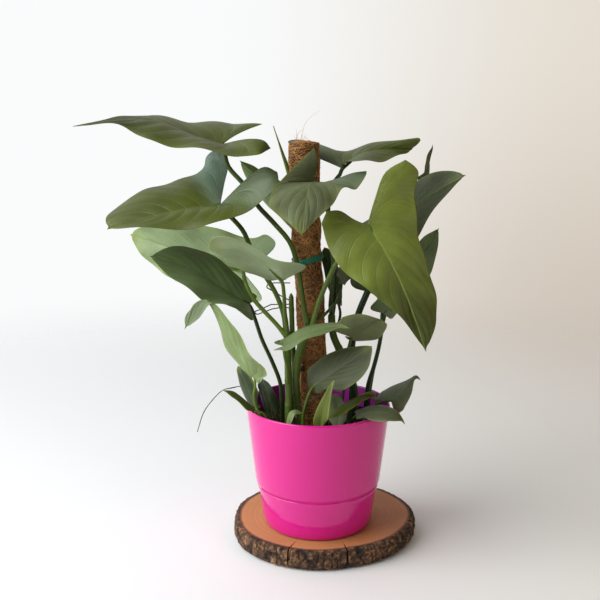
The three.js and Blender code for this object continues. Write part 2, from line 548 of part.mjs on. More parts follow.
function makeBand() {
  const reach = POLE_RADII[1] + BAND_SLACK;
  const ring = [[reach, 0], [reach + BAND_THICKNESS, 0], [reach + BAND_THICKNESS, BAND_WIDTH],
    [reach, BAND_WIDTH], [reach, 0]].map(([r, z]) => new THREE.Vector2(r, z - BAND_WIDTH / 2));
  const geometry = new THREE.LatheGeometry(ring, 28);
  geometry.rotateX(Math.PI / 2);
  geometry.rotateY(-BAND_TILT);
  geometry.translate(...BAND_CENTRE);
  solids.tie_band = largest(solidFrom(geometry).subtract(growth.coir_pole));
}

// The pot's outer wall from the base up, and its inside, as radius and height above the base.
function potOutside() {
  return [
    [POT_BASE_RADIUS - 2, 0],
    [POT_BASE_RADIUS, 2],
    [POT_WAIST_RADIUS, POT_WAIST_HEIGHT],
    [mix(POT_WAIST_RADIUS, POT_SEAM_RADIUS, 0.5), mix(POT_WAIST_HEIGHT, POT_SEAM_HEIGHT, 0.46)],
    [POT_SEAM_RADIUS - 0.2, POT_SEAM_HEIGHT - 0.8],
    [POT_SEAM_RADIUS - POT_SEAM_DEPTH, POT_SEAM_HEIGHT],
    [POT_SEAM_RADIUS + 0.2, POT_SEAM_HEIGHT + 0.8],
    [POT_SHOULDER_RADIUS, POT_SHOULDER_HEIGHT],
    [POT_RIM_RADIUS - 0.4, POT_HEIGHT - 2],
    [POT_RIM_RADIUS - 0.6, POT_HEIGHT - 0.6],
    [POT_RIM_RADIUS - 1.5, POT_HEIGHT],
  ];
}

function potInside(clear = 0) {
  const inset = POT_WALL + clear;
  return [
    [POT_RIM_RADIUS - inset, POT_HEIGHT - 1],
    [POT_SHOULDER_RADIUS - inset, POT_SHOULDER_HEIGHT],
    [POT_WAIST_RADIUS - inset, POT_WAIST_HEIGHT],
    [POT_BASE_RADIUS - inset, inset],
  ];
}

function lathe(profile, segments) {
  const geometry = new THREE.LatheGeometry(profile.map(([r, z]) => new THREE.Vector2(r, z)), segments);
  return solidFrom(geometry.rotateX(Math.PI / 2).translate(0, 0, POT_BASE));
}

function makePot() {
  const floor = [[0, POT_WALL]];
  solids.pot = lathe([[0, 0], ...potOutside(), ...potInside(), ...floor], 48);
}

// Potting mix: it fills the pot up to an uneven top, with holes for the pole and the stems.
function makeSoil() {
  const inside = potInside(GAP);
  const top = SOIL_TOP - POT_BASE;
  const [rim, shoulder] = inside;
  const edge = mix(shoulder[0], rim[0], (top - shoulder[1]) / (rim[1] - shoulder[1]));
  const profile = [[0, inside[3][1]], inside[3], inside[2], shoulder, [edge, top]];
  for (const share of [0.84, 0.64, 0.44, 0.22, 0]) profile.push([edge * share, top]);
  const geometry = new THREE.LatheGeometry(profile.map(([r, z]) => new THREE.Vector2(r, z)), 30);
  geometry.rotateX(Math.PI / 2).translate(0, 0, POT_BASE);
  const position = geometry.attributes.position;
  for (let i = 0; i < position.count; i += 1) {
    const [x, y, z] = [position.getX(i), position.getY(i), position.getZ(i)];
    const inner = Math.min(1, (edge - Math.hypot(x, y)) / 12);
    if (z < SOIL_TOP - 0.01 || inner <= 0) continue;
    const bumps = Math.sin(x / 7 + 1) * Math.cos(y / 6) + 0.6 * Math.sin((x + y) / 4.5);
    position.setZ(i, z + SOIL_RELIEF * inner * bumps * 0.6);
  }
  solids.potting_mix = solidFrom(geometry);
  for (const name of Object.keys(STEMS)) cutSoil(growth[name]);
  cutSoil(growth.coir_pole);
}

function cutSoil(shape) {
  solids.potting_mix = largest(solids.potting_mix.subtract(shape));
}

// The slice of log: a flat sawn top and underside, with a rough bark edge between them.
function makeSlice() {
  const segments = 60;
  const levels = [[0, -4], [4, -0.5], [14, 1.5], [23, 0.5], [SLICE_HEIGHT, -3]];
  const outline = (a) => {
    const [c, s] = [Math.cos(a), Math.sin(a)];
    const oval = 1 / Math.hypot(c / SLICE_HALF[0], s / SLICE_HALF[1]);
    return oval + 2.4 * Math.sin(2 * a - 0.6) + 1.2 * Math.cos(3 * a) + 0.7 * Math.sin(7 * a + 1);
  };
  const bark = (a, z) => 1.1 * Math.sin(17 * a + z / 4) + 0.8 * Math.sin(29 * a - z / 3);
  const points = [vec([...SLICE_CENTRE, 0]), vec([...SLICE_CENTRE, SLICE_HEIGHT])];
  for (const [z, out] of levels) {
    for (let k = 0; k < segments; k += 1) {
      const a = (2 * Math.PI * k) / segments;
      const r = outline(a) + out + bark(a, z);
      points.push(vec([SLICE_CENTRE[0] + r * Math.cos(a), SLICE_CENTRE[1] + r * Math.sin(a), z]));
    }
  }
  const at = (i, k) => 2 + i * segments + (k % segments);
  const faces = [];
  for (let k = 0; k < segments; k += 1) {
    faces.push([0, at(0, k + 1), at(0, k)], [1, at(levels.length - 1, k), at(levels.length - 1, k + 1)]);
    for (let i = 0; i < levels.length - 1; i += 1) {
      faces.push([at(i, k), at(i, k + 1), at(i + 1, k + 1)], [at(i, k), at(i + 1, k + 1), at(i + 1, k)]);
    }
  }
  solids.wood_slice = solidFrom(geometryOf(points, faces));
}

// A leaf: its blade fused to its stalk, whose foot is cut to its seat.
function makeLeaf(name, leaf) {
  const blade = solidFrom(thicken(bladeSurface(leaf), BLADE_THICKNESS));
  const left = halfEdges(leaf, "left");
  const right = halfEdges(leaf, "right");
  const normal = bladeNormal(left, 0.3, -1).add(bladeNormal(right, 0.3, 1)).normalize();
  const drop = leaf.radii[0] * 0.7;
  const under = (u) => left(u)[0].addScaledVector(normal, -drop).toArray();
  const path = [under(0.27), under(SINUS), ...leaf.stalk];
  const length = new THREE.CatmullRomCurve3(path.map(vec)).getLength();
  const bend = vec(path[0]).distanceTo(vec(path[1])) / length;
  const steps = leaf.small ? 5 : 7;
  const shares = [0, ...even(steps).map((t) => mix(bend, 1, t))];
  const radiusAt = (t) => (t === 0 ? 0.6 : 1) * mix(leaf.radii[0], leaf.radii[1], t);
  let whole = blade.add(tube(path, radiusAt, 6, shares));
  if (leaf.on === "soil") cutSoil(tube(path, radiusAt, 6, shares, GAP));
  else whole = whole.subtract(growth[leaf.on]);
  solids[name] = largest(whole);
  growth[name] = tube(path, radiusAt, 6, shares, GAP);
}

function makeSlim(name, { path, radii, sides, seats }) {
  const shares = even(2 * (path.length - 1));
  let piece = tube(path, taper(radii), sides, shares);
  for (const seat of seats) {
    if (seat === "soil") cutSoil(tube(path, taper(radii), sides, shares, GAP));
    else piece = piece.subtract(growth[seat]);
  }
  solids[name] = largest(piece);
}

makeSlice();
makePot();
makePole();
for (const [name, stem] of Object.entries(STEMS)) makeStem(name, stem);
makeSoil();
for (const [name, leaf] of Object.entries(LEAVES)) makeLeaf(name, leaf);
for (const [name, slim] of Object.entries(SLIM)) makeSlim(name, slim);
makeBand();

// The scene graph: one named mesh for each piece
const FINISH = {
  wood_slice: ["wood", 0.7],
  pot: ["plastic", 0.15],
  potting_mix: ["soil", 0.95],
  coir_pole: ["coir", 0.9],
  tie_band: ["band", 0.4],
};

function finishOf(name) {
  if (FINISH[name]) return FINISH[name];
  if (STEMS[name]) return ["vine", 0.45];
  return [(LEAVES[name] ?? SLIM[name]).colour, 0.45];
}

const plant = new THREE.Group();
for (const [name, solid] of Object.entries(solids)) {
  const [colour, roughness] = finishOf(name);
  const material = new THREE.MeshStandardMaterial({ color: COLOURS[colour], roughness, metalness: 0 });
  const mesh = new THREE.Mesh(geometryFrom(solid), material);
  mesh.name = name;
  plant.add(mesh);
}

export default plant;
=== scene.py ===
"""A potted philodendron hastatum on a coir pole, in a glossy pink pot on a slice of log.

The tables hold the plant's own points in millimetres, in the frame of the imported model, and
every surface is worked out from them on a grid of two parameters.
"""
import math
from typing import NamedTuple

import bmesh
import bpy
import numpy as np
from bpy.props import FloatProperty, FloatVectorProperty, IntProperty, PointerProperty
from bpy.types import Operator, Panel, PropertyGroup
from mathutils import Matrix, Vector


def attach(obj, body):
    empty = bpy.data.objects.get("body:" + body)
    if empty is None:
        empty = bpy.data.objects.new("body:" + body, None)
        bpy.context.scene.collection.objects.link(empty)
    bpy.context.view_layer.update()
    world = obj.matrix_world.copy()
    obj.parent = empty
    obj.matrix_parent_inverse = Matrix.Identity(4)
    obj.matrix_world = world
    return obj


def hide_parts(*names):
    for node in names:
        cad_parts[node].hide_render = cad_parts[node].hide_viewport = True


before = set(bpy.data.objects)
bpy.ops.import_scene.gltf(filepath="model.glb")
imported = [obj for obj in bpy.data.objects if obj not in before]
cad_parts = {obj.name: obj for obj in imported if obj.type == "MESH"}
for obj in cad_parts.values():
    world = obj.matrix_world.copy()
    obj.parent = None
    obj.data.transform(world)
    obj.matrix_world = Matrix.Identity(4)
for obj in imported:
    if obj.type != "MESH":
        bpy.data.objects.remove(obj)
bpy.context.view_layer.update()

bl_info = {
    "name": "Potted philodendron hastatum",
    "version": (1, 0, 0),
    "blender": (4, 5, 0),
    "location": "3D View > Sidebar > Plant",
    "description": "Builds a climbing arrow-leaved plant in its pot, on a slice of log",
    "category": "Add Mesh",
}

MM = 0.001
SINUS = 0.2  # where along a half blade the lobe ends and the rib begins
SIDE_VEINS = 7.0  # side veins on each half of a blade, ahead of the sinus
WAVE_SHIFT = 1.7  # from one leaf's waves to the next leaf's, in radians
NOISE_SIZE = 257  # steps after which steady_noise repeats
JOIN_DIGITS = 4  # points that agree to this many decimals of a millimetre are joined


class Look(NamedTuple):
    """How one leaf looks. A pair is for its left and its right half."""

    tone: float  # brightness
    tip: float  # yellow-green at the tip
    edge: float  # yellow-green at the edge
    stalk: float  # the stalk's shade, from 0 dark to 1 light
    waves: int  # waves along the margin
    height: float  # their height in mm
    marks: float  # brown blemishes
    light_rib: float  # how light the midrib is
    full: tuple = (1.0, 1.0)  # how full the basal lobes are
    painted_tip_shade: float = 0.15  # painted shade: how much darker it gets towards the tip
    bloom: tuple = (0, 0)  # painted sheen: a pale bluish reflection on the lobes


def read_points(text):
    """Rows of x, y and z in millimetres, from text such as "1 2 3, 4 5 6"."""
    return np.array([row.split() for row in text.split(",")], float)


def leaf_row(colour, radii, look, small=False, **lines):
    """One leaf: its kind of colour, its stalk's radii at the blade and the foot, its look, and
    whether it is small enough for a coarser grid."""
    points = {name: read_points(text) for name, text in lines.items()}
    return {"colour": colour, "radii": radii, "look": look, "small": small, **points}


# rib runs from the sinus to the tip. left and right run along the margin from the tip of the
# basal lobe towards the leaf's tip, as seen on the upper face with the tip away. left_inner and
# right_inner are points between the lobe's tip and the sinus. stalk runs from the sinus to what
# carries the leaf. Stalks and stems that grow from the potting mix end in it, at z 158.
LEAVES = {
    "leaf_top_left": leaf_row(
        "olive", (3, 3.4), Look(0.64, 0.1, 0.1, 0.3, 4, 2.5, 0.1, 0.12, (1.0, -0.8), 0.62),
        rib="-127 -5 554, -165 -3 566, -210 0 583, -262 -5 585, -319 -10 577",
        left="-62 -42 550, -99 -66 542, -161 -60 551, -214 -46 559, -257 -22 579",
        right="-76 38 579, -121 60 580, -178 60 583, -234 44 590, -271 10 587",
        left_inner="-72 -42 560, -94 -34 561",
        right_inner="-93 30 573, -110 14 565",
        stalk="-119 -10 526, -99 -15 503, -80 -20 475, -60 -25 454, -38 -31 428, -29 -35 401, "
            "-23 -36 366, -19 -34 338, -15 -30 318"),
    "leaf_left_large": leaf_row(
        "olive", (3, 3.4),
        Look(0.68, 0.15, 0.0, 0.45, 3, 2.2, 0.1, 0.15, (1.0, 1.2), 0.15, (0.25, 0.9)),
        rib="-129 -20 477, -173 -28 472, -219 -34 462, -274 -40 447",
        left="-54 -38 520, -83 -56 478, -136 -66 456, -187 -62 450, -245 -50 450",
        right="-135 30 548, -165 36 513, -199 32 503, -237 18 490, -276 -16 465",
        left_inner="-72 -36 526, -96 -28 509",
        right_inner="-122 26 527, -126 8 500",
        stalk="-125 -17 469, -116 -15 460, -100 -14 441, -91 -14 420, -76 -14 389, -57 -14 356, "
            "-47 -15 327, -44 -19 298, -41 -29 268"),
    "leaf_left_pale": leaf_row(
        "pale", (2.6, 3), Look(1.2, 0.4, 0.4, 0.75, 4, 2.5, 0.1, 0.25, painted_tip_shade=0),
        rib="-103 16 381, -156 34 393, -212 42 413, -261 44 429",
        left="-62 26 425, -100 44 425, -148 52 438, -199 52 447, -244 46 439",
        right="-86 34 335, -129 46 344, -189 52 359, -227 52 380, -251 48 406",
        stalk="-101 4 377, -97 -8 367, -87 -14 349, -73 -20 334, -57 -26 318, -43 -28 301"),
    "leaf_left_dark": leaf_row(
        "dark", (2.6, 3), Look(2.3, 0.0, 0.05, 0.1, 3, 2.2, 0.0, 0.15, (0.8, 0.4), 0.1),
        rib="-93 -4 340, -129 -16 365, -170 -26 394, -221 -36 411",
        left="-96 -40 331, -120 -56 349, -149 -62 358, -180 -56 379, -206 -46 397",
        right="-88 4 353, -107 5 376, -134 6 399, -168 0 417, -200 -16 419",
        stalk="-87 4 319, -77 2 289, -63 -4 259, -52 -12 231, -50 -18 205, -49 -21 158"),
    "leaf_front_left": leaf_row(
        "silver", (2.2, 3), Look(1.35, 0.4, 0.2, 0.5, 3, 1.6, 0.1, 0.15, (0.6, 0.0), 0),
        rib="-48 -50 381, -68 -60 403, -96 -70 423, -141 -76 428",
        left="-20 -62 404, -50 -86 413, -77 -100 429, -108 -102 445, -132 -88 442",
        right="-46 -20 378, -65 -26 378, -90 -38 388, -113 -50 404, -132 -66 421",
        stalk="-46 -44 362, -45 -36 336, -43 -29 318, -43 -27 308"),
    "leaf_centre_arched": leaf_row(
        "silver", (2.6, 3), Look(0.7, 0.3, 0.15, 0.3, 3, 2.2, 0.1, 0.25, (-0.6, -1.0), 0, (0.3, 0)),
        rib="-7 -30 503, -10 -50 508, -14 -74 505, -19 -92 478, -23 -98 446",
        left="61 -20 520, 47 -50 501, 27 -70 500, 14 -86 482, -9 -95 462",
        right="-6 -32 550, -51 -62 509, -61 -80 495, -61 -89 479, -40 -95 463",
        left_inner="43 -16 517, 22 -22 510",
        right_inner="-3 -35 535, -6 -34 518",
        stalk="4 -14 487, 12 -6 465, 18 2 427, 20 6 385, 17 7 338, 18 10 326"),
    "leaf_centre_back": leaf_row(
        "dark", (2.4, 3), Look(3.4, 0.4, 0.6, 0.2, 3, 1.4, 0.2, 0.25, painted_tip_shade=0),
        rib="-25 42 455, -66 52 492, -108 56 530",
        left="-38 50 437, -60 60 458, -81 64 477, -99 62 503",
        right="-12 60 469, -33 64 488, -61 66 506, -86 62 520",
        stalk="-25 36 422, -21 32 367, -17 30 296, -15 29 223, 0 34 158"),
    "leaf_top_right": leaf_row(
        "olive", (2.6, 3.2), Look(0.5, 0.1, 0.1, 0.1, 3, 2.2, 0.1, 0.15, (0.6, 0.0), 0.1, (0.2, 0)),
        rib="30 2 523, 55 4 541, 88 6 547, 123 10 546",
        left="-39 44 557, 0 58 551, 36 48 544, 76 38 553, 119 22 561, 134 12 559",
        right="31 -16 531, 35 -34 535, 59 -42 533, 85 -30 535, 111 -4 541",
        stalk="28 6 514, 22 10 506, 14 20 479, 16 20 431, 22 20 383, 22 19 340, 19 15 322"),
    "leaf_right_large": leaf_row(
        "olive", (3, 3.4), Look(1.4, 0.1, 0.05, 0.45, 5, 2.5, 0.5, 1.0, (1.2, 0.6), 0.75),
        rib="60 -62 455, 82 -76 423, 107 -88 373, 135 -92 297",
        left="110 -30 535, 122 -48 479, 127 -62 433, 145 -78 377, 147 -88 336",
        right="9 -50 471, 5 -64 446, 23 -82 407, 60 -92 377, 103 -96 341",
        left_inner="83 -42 519, 70 -54 488",
        right_inner="26 -54 472, 43 -60 462",
        stalk="51 -58 447, 42 -52 435, 22 -44 403, 6 -40 367, -3 -38 342, -8 -34 322, "
            "-12 -29 306"),
    "leaf_right_back": leaf_row(
        "silver", (4.2, 5), Look(0.52, 0.2, 0.1, 0.0, 3, 2.2, 0.4, 0.2, painted_tip_shade=0.2),
        rib="78 32 425, 115 38 456, 156 42 485, 202 44 511",
        left="59 36 352, 95 44 342, 126 52 399, 153 50 450, 181 46 489",
        right="45 60 422, 86 66 459, 117 62 487, 149 54 510, 181 48 516",
        stalk="77 26 393, 72 24 363, 55 19 319, 47 12 277, 48 4 219, 46 -2 158"),
    "leaf_right_low": leaf_row(
        "dark", (2.6, 3.4), Look(2.1, 0.0, 0.0, 0.05, 3, 1.4, 0.1, 0.2),
        rib="91 30 319, 114 34 352, 141 38 397, 167 42 438",
        left="77 20 337, 85 18 361, 111 22 394, 137 30 420, 154 36 432",
        right="111 46 317, 134 52 334, 153 52 363, 164 50 389, 167 46 417",
        stalk="90 28 305, 86 26 275, 79 24 245, 71 22 217, 66 20 158"),
    "leaf_right_small": leaf_row(
        "silver", (1.8, 2.2), Look(1.1, 0.3, 0.2, 0.3, 2, 1.1, 0.1, 0.3),
        rib="46 -6 294, 61 -10 305, 77 -14 317, 93 -14 315",
        left="22 -24 318, 33 -30 329, 49 -30 332, 68 -26 329, 82 -18 323",
        right="37 -2 294, 52 2 287, 69 4 287, 84 0 293, 91 -8 305",
        stalk="42 -2 281, 37 0 258, 36 0 225, 28 -12 158"),
    "leaf_front_glaucous": leaf_row(
        "pale", (1.8, 2.4), Look(0.46, 0.3, 0.0, 0.6, 2, 1.4, 0.0, 0.1),
        rib="-46 -62 297, -25 -72 312, 6 -80 325, 38 -88 327",
        left="-57 -50 300, -47 -44 302, -30 -50 315, -3 -62 325, 21 -76 332",
        right="-55 -76 295, -40 -92 300, -21 -98 312, 0 -98 321, 22 -92 327",
        stalk="-45 -54 281, -42 -46 263, -41 -36 239"),
    "leaf_front_low": leaf_row(
        "silver", (2, 2.4), Look(0.4, 0.2, 0.1, 0.4, 2, 0.7, 0.5, 0.1),
        rib="-7 -56 241, 17 -64 260, 42 -72 280, 68 -76 301",
        left="-14 -42 243, -13 -38 259, 6 -40 276, 30 -50 290, 53 -66 298",
        right="6 -74 240, 28 -84 243, 48 -90 257, 62 -88 275, 67 -80 290",
        stalk="-12 -52 231, -17 -50 215, -21 -50 195, -17 -52 158"),
    "leaf_hanging_pale": leaf_row(
        "pale", (1.6, 1.8), Look(0.65, 0.0, 0.2, 0.8, 4, 1.4, 0.1, 0.2),
        rib="-86 -66 258, -101 -72 281, -120 -78 322, -139 -78 358, -159 -76 356, -173 -72 322",
        left="-92 -56 256, -104 -52 267, -119 -54 287, -130 -64 322, -142 -74 357, -170 -72 342",
        right="-77 -74 253, -70 -84 271, -90 -90 296, -109 -88 330, -135 -80 357, -155 -79 337",
        stalk="-84 -62 243, -86 -58 229, -82 -52 208, -72 -50 186, -62 -46 158"),
    "leaf_crinkled": leaf_row(
        "silver", (1.8, 2.2), Look(0.6, 0.2, 0.1, 0.3, 4, 1.4, 0.4, 0.2), small=True,
        rib="33 18 365, 38 14 381, 43 12 401",
        left="28 12 369, 25 8 378, 28 6 388, 37 10 398",
        right="38 24 364, 45 28 370, 49 26 382, 48 20 394",
        stalk="31 14 356, 24 0 342, 12 -14 332, 1 -20 323, -11 -26 319"),
    "leaf_upright_back": leaf_row(
        "dark", (1.8, 2.2), Look(1.2, 0.2, 0.2, 0.2, 2, 0.9, 0.1, 0.2), small=True,
        rib="30 28 331, 21 30 368, 8 28 414",
        left="27 24 335, 16 25 352, 8 24 380, 4 26 402",
        right="33 36 334, 34 40 349, 30 42 379, 18 36 406",
        stalk="31 26 321, 28 19 308, 20 13 298"),
    "leaf_thin_right": leaf_row(
        "silver", (1.8, 2.4), Look(0.8, 0.2, 0.1, 0.3, 2, 0.9, 0.0, 0.2), small=True,
        rib="141 78 453, 153 80 522, 161 82 550",
        left="152 72 499, 149 68 516, 150 70 530, 157 77 543",
        right="156 86 498, 158 92 514, 159 91 528, 161 86 544",
        stalk="134 74 423, 115 68 368, 97 62 310, 88 52 268, 78 44 220, 70 42 158"),
    "leaf_low_right_upper": leaf_row(
        "silver", (1.6, 2), Look(0.6, 0.2, 0.1, 0.4, 2, 0.9, 0.2, 0.2), small=True,
        rib="101 -4 204, 116 -2 218, 132 0 235, 142 0 232",
        left="86 22 203, 97 24 211, 115 16 223, 129 8 233, 137 4 237",
        right="112 -14 189, 121 -17 203, 128 -13 218, 133 -4 232, 138 -2 235",
        stalk="93 -3 203, 80 0 196, 70 2 182, 66 3 158"),
    "leaf_low_right_over": leaf_row(
        "silver", (1.6, 2), Look(0.56, 0.5, 0.3, 0.5, 2, 0.9, 0.2, 0.2), small=True,
        rib="50 -62 203, 75 -72 210, 97 -80 209, 112 -82 197",
        left="54 -46 204, 69 -44 209, 86 -50 213, 100 -66 211, 108 -76 205",
        right="55 -76 203, 66 -84 204, 81 -90 203, 95 -90 204, 106 -86 203",
        stalk="43 -50 189, 38 -42 180, 35 -38 158"),
    "leaf_low_arching": leaf_row(
        "olive", (1.5, 1.8), Look(0.83, 0.3, 0.3, 0.7, 2, 0.7, 0.2, 0.2), small=True,
        rib="77 -28 217, 59 -42 223, 33 -60 215, 8 -72 201",
        left="78 -34 215, 63 -50 220, 43 -68 213, 25 -74 204",
        right="77 -24 220, 66 -38 227, 43 -50 220, 23 -62 211",
        stalk="79 -22 208, 70 -18 192, 62 -20 178, 60 -20 158"),
    "leaf_low_upright_olive": leaf_row(
        "olive", (1.6, 1.8), Look(0.9, 0.4, 0.3, 0.7, 2, 0.7, 0.1, 0.2), small=True,
        rib="1 -80 188, 6 -85 224, 19 -92 261",
        left="-4 -78 187, -8 -78 199, -1 -80 222, 10 -86 246",
        right="5 -84 189, 11 -92 207, 13 -94 229, 17 -94 250",
        stalk="0 -78 181, -1 -76 175, -2 -74 158"),
    "leaf_low_upright_grey": leaf_row(
        "silver", (1.6, 1.8), Look(0.68, 0.1, 0.1, 0.5, 2, 0.7, 0.1, 0.2), small=True,
        rib="26 -58 184, 26 -50 203, 22 -44 227",
        left="19 -54 184, 13 -48 192, 11 -44 206, 15 -43 221",
        right="31 -62 186, 36 -60 196, 36 -54 210, 30 -48 222",
        stalk="24 -56 178, 22 -54 174, 21 -52 158"),
    "leaf_low_tiny": leaf_row(
        "pale", (1.4, 1.6), Look(0.6, 0.2, 0.1, 0.5, 2, 0.5, 0.1, 0.2), small=True,
        rib="-39 -80 196, -34 -77 211, -22 -72 209",
        left="-42 -78 195, -42 -76 201, -39 -74 210, -30 -71 213",
        right="-37 -82 195, -35 -84 203, -31 -82 210, -26 -76 209",
        stalk="-40 -76 186, -39 -72 176, -38 -70 158"),
    "leaf_low_left_upright": leaf_row(
        "dark", (1.8, 2), Look(0.75, 0.4, 0.4, 0.5, 2, 0.7, 0.2, 0.2), small=True,
        rib="-84 -44 205, -95 -40 230, -108 -38 264",
        left="-90 -40 208, -99 -32 216, -106 -28 235, -110 -32 253",
        right="-81 -46 212, -80 -48 229, -88 -48 247, -99 -44 260",
        stalk="-80 -38 195, -75 -32 180, -72 -28 158"),
    "leaf_low_left_drooping": leaf_row(
        "olive", (1.6, 1.8), Look(0.68, 0.3, 0.3, 0.5, 2, 0.7, 0.2, 0.2), small=True,
        rib="-86 -60 209, -104 -58 224, -127 -56 235",
        left="-88 -66 208, -96 -70 213, -109 -68 226, -120 -62 232",
        right="-88 -54 212, -95 -50 216, -105 -50 226, -117 -52 233",
        stalk="-81 -58 206, -74 -56 203, -66 -56 186, -63 -56 158"),
    "leaf_low_narrow": leaf_row(
        "dark", (1.5, 1.7), Look(0.68, 0.2, 0.2, 0.4, 2, 0.5, 0.1, 0.2), small=True,
        rib="-68 -36 195, -74 -32 218, -80 -28 241",
        left="-72 -34 196, -76 -29 209, -80 -26 223, -82 -26 233",
        right="-65 -38 200, -65 -40 215, -71 -38 230, -78 -32 238",
        stalk="-64 -34 186, -60 -31 178, -58 -30 158"),
    "leaf_low_dark": leaf_row(
        "dark", (1.6, 1.9), Look(0.6, 0.2, 0.1, 0.3, 2, 0.7, 0.1, 0.2), small=True,
        rib="-61 -8 192, -69 -6 211, -77 -4 236",
        left="-66 -3 188, -73 3 202, -78 6 216, -80 0 228",
        right="-55 -12 190, -55 -16 208, -63 -16 226, -72 -10 234",
        stalk="-58 -9 184, -55 -8 176, -53 -7 158"),
}

# Climbing stems, from the foot to the top, with radii at foot and top
STEMS = {
    "vine_front": ("-34 -44 158, -40 -42 190, -40 -38 217, -41 -31 254, -42 -27 284, "
        "-43 -27 311", (5.2, 4.4)),
    "vine_left": ("-33 -14 158, -38 -16 212, -33 -16 253, -35 -14 288, -36 -12 319, "
        "-37 -12 357", (4, 3.4)),
    "vine_pole": ("-18 -32 158, -29 -28 212, -30 -28 252, -25 -28 282, -17 -29 306, "
        "-12 -29 322", (4.4, 5.6)),
    "vine_right": ("50 36 158, 53 30 200, 48 24 228, 33 15 265, 21 13 293, "
        "18 12 326", (4.6, 5.2)),
}

# Roots and wires, with radii at both ends
ROOTS = {
    "aerial_root_dry": ("-163 -48 174, -154 -48 201, -143 -46 217, -128 -43 231, -117 -40 233, "
        "-103 -24 230, -94 -16 220, -82 -12 196, -76 -10 158", (0.5, 0.9)),
    "aerial_root_front": ("-28 -32 205, -17 -38 212, 2 -38 221", (1.4, 0.9)),
    "aerial_root_thick": ("-36 -16 246, -22 -12 252, -10 -6 254", (3.6, 3)),
}
WIRES = {
    "tie_upper": ("-38 -12 371, -60 -6 370, -69 -3 367, -70 -3 363, -50 -7 352, "
        "-37 -12 346", (0.8, 0.8)),
    "tie_lower": ("-36 -12 342, -47 -9 341, -64 0 339, -80 7.6 330, -88 8.4 327, -84 8 323, "
        "-62 0 333, -47 -8 337, -36 -12 336", (0.8, 0.8)),
}
SPEAR = read_points("-60 8 577, -50 14 546, -40 20 516, -31 29 478, -26 33 440, -23 34 395")
POLE_PATH = read_points("-3 0 95, -6 0 200, -8 0 270, -11 0 345, -16 0 414, -20 0 556")


# Arithmetic on numbers and on shader sockets


def math_node(operation, swapped=False):
    """A method that adds the Math node of an operation on a socket and another value."""
    def method(self, *other):
        values = (self, *other)[::-1] if swapped else (self, *other)
        return self.nodes.node("ShaderNodeMath", {"operation": operation}, dict(enumerate(values)))
    return method


class Maths:
    """A shader socket that can be used in an expression."""

    def __init__(self, nodes, socket):
        self.nodes = nodes
        self.socket = socket

    __add__ = __radd__ = math_node("ADD")
    __mul__ = __rmul__ = math_node("MULTIPLY")
    __sub__, __rsub__ = math_node("SUBTRACT"), math_node("SUBTRACT", swapped=True)
    __truediv__ = math_node("DIVIDE")
    __pow__ = math_node("POWER")
    __abs__ = math_node("ABSOLUTE")
    fract = math_node("FRACT")
    highest = math_node("MAXIMUM")

    def __neg__(self):
        return self * -1.0


def fract(x):
    """The part of x after its whole steps."""
    return x.fract() if isinstance(x, Maths) else np.mod(x, 1)


def highest(x, other):
    """The larger of two values."""
    return x.highest(other) if isinstance(x, Maths) else np.maximum(x, other)


def rise(low, high, x):
    """A smooth rise from 0 at low to 1 at high: t * t * (3 - 2 * t) of the share t between."""
    if isinstance(x, Maths):
        sockets = {"Value": x, "From Min": low, "From Max": high}
        return x.nodes.node("ShaderNodeMapRange", {"interpolation_type": "SMOOTHSTEP"}, sockets)
    t = np.clip((x - low) / (high - low), 0, 1)
    return t * t * (3 - 2 * t)


def vein_distance(u, v):
    """How far a point of a half blade is from its nearest side vein, in steps between veins.

    u is 0 at the lobe's tip, SINUS at the sinus and 1 at the leaf's tip; v is 0 on the rib and 1
    on the margin. Ahead of the sinus, veins leave the rib at even steps and sweep forward by
    0.12 * v + 0.18 * v * v. Behind it, they fan out from the sinus into the lobe, along lines
    where the distance behind over v is the same.
    """
    ahead = (u - SINUS) / (1 - SINUS) - (v * 0.12 + v * v * 0.18)
    side = abs(fract(ahead * SIDE_VEINS + 0.15) - 0.5)
    fan = abs(fract(highest(ahead * -0.8, 0.0) ** 0.5 / (v + 0.03) ** 0.5 * 6.0 + 0.5) - 0.5)
    front = rise(-0.02, 0.02, ahead)
    return side * front + fan * (1 - front)


def steady_noise(x, y, seed, wrap=None):
    """Smooth random heights from -1 to 1: random numbers at whole steps of x and y, eased
    between their four neighbours by t * t * (3 - 2 * t). With wrap, x repeats after that many."""
    turn = wrap or NOISE_SIZE
    numbers = np.random.default_rng(seed).uniform(-1, 1, (turn, NOISE_SIZE))
    column, row = np.floor(x).astype(int), np.floor(y).astype(int)
    s, t = rise(0, 1, x - column), rise(0, 1, y - row)
    a, b = column % turn, (column + 1) % turn
    c, d = row % NOISE_SIZE, (row + 1) % NOISE_SIZE
    low = numbers[a, c] * (1 - s) + numbers[b, c] * s
    high = numbers[a, d] * (1 - s) + numbers[b, d] * s
    return low * (1 - t) + high * t


def rough_noise(x, y, seed, octaves, wrap=None):
    """Octaves of steady_noise added up, each twice as fine and half as high as the last."""
    steps = [2**k for k in range(octaves)]
    return sum(
        steady_noise(x * step, y * step, seed + k, wrap and wrap * step) / step
        for k, step in enumerate(steps)
    )


# Curves and meshes


def unit(vectors):
    """Vectors along the last axis, scaled to length 1."""
    return vectors / np.maximum(np.linalg.norm(vectors, axis=-1, keepdims=True), 1e-12)


def chords(points):
    """The distances from each point of a line to the next."""
    return np.linalg.norm(np.diff(points, axis=0), axis=1)


def sum_up(steps):
    """Running sums of steps, from 0."""
    return np.concatenate([[0], np.cumsum(steps)])


def read_between(at, knots, points):
    """Points on the straight runs between rows of points, where the knots reach the value at."""
    return np.stack([np.interp(at, knots, column) for column in points.T], -1)


def circle(count):
    """Even angles round a circle."""
    return np.linspace(0, 2 * np.pi, count, endpoint=False)


def outward(angle):
    """Level unit vectors at angles."""
    return np.stack([np.cos(angle), np.sin(angle), 0 * angle], -1)


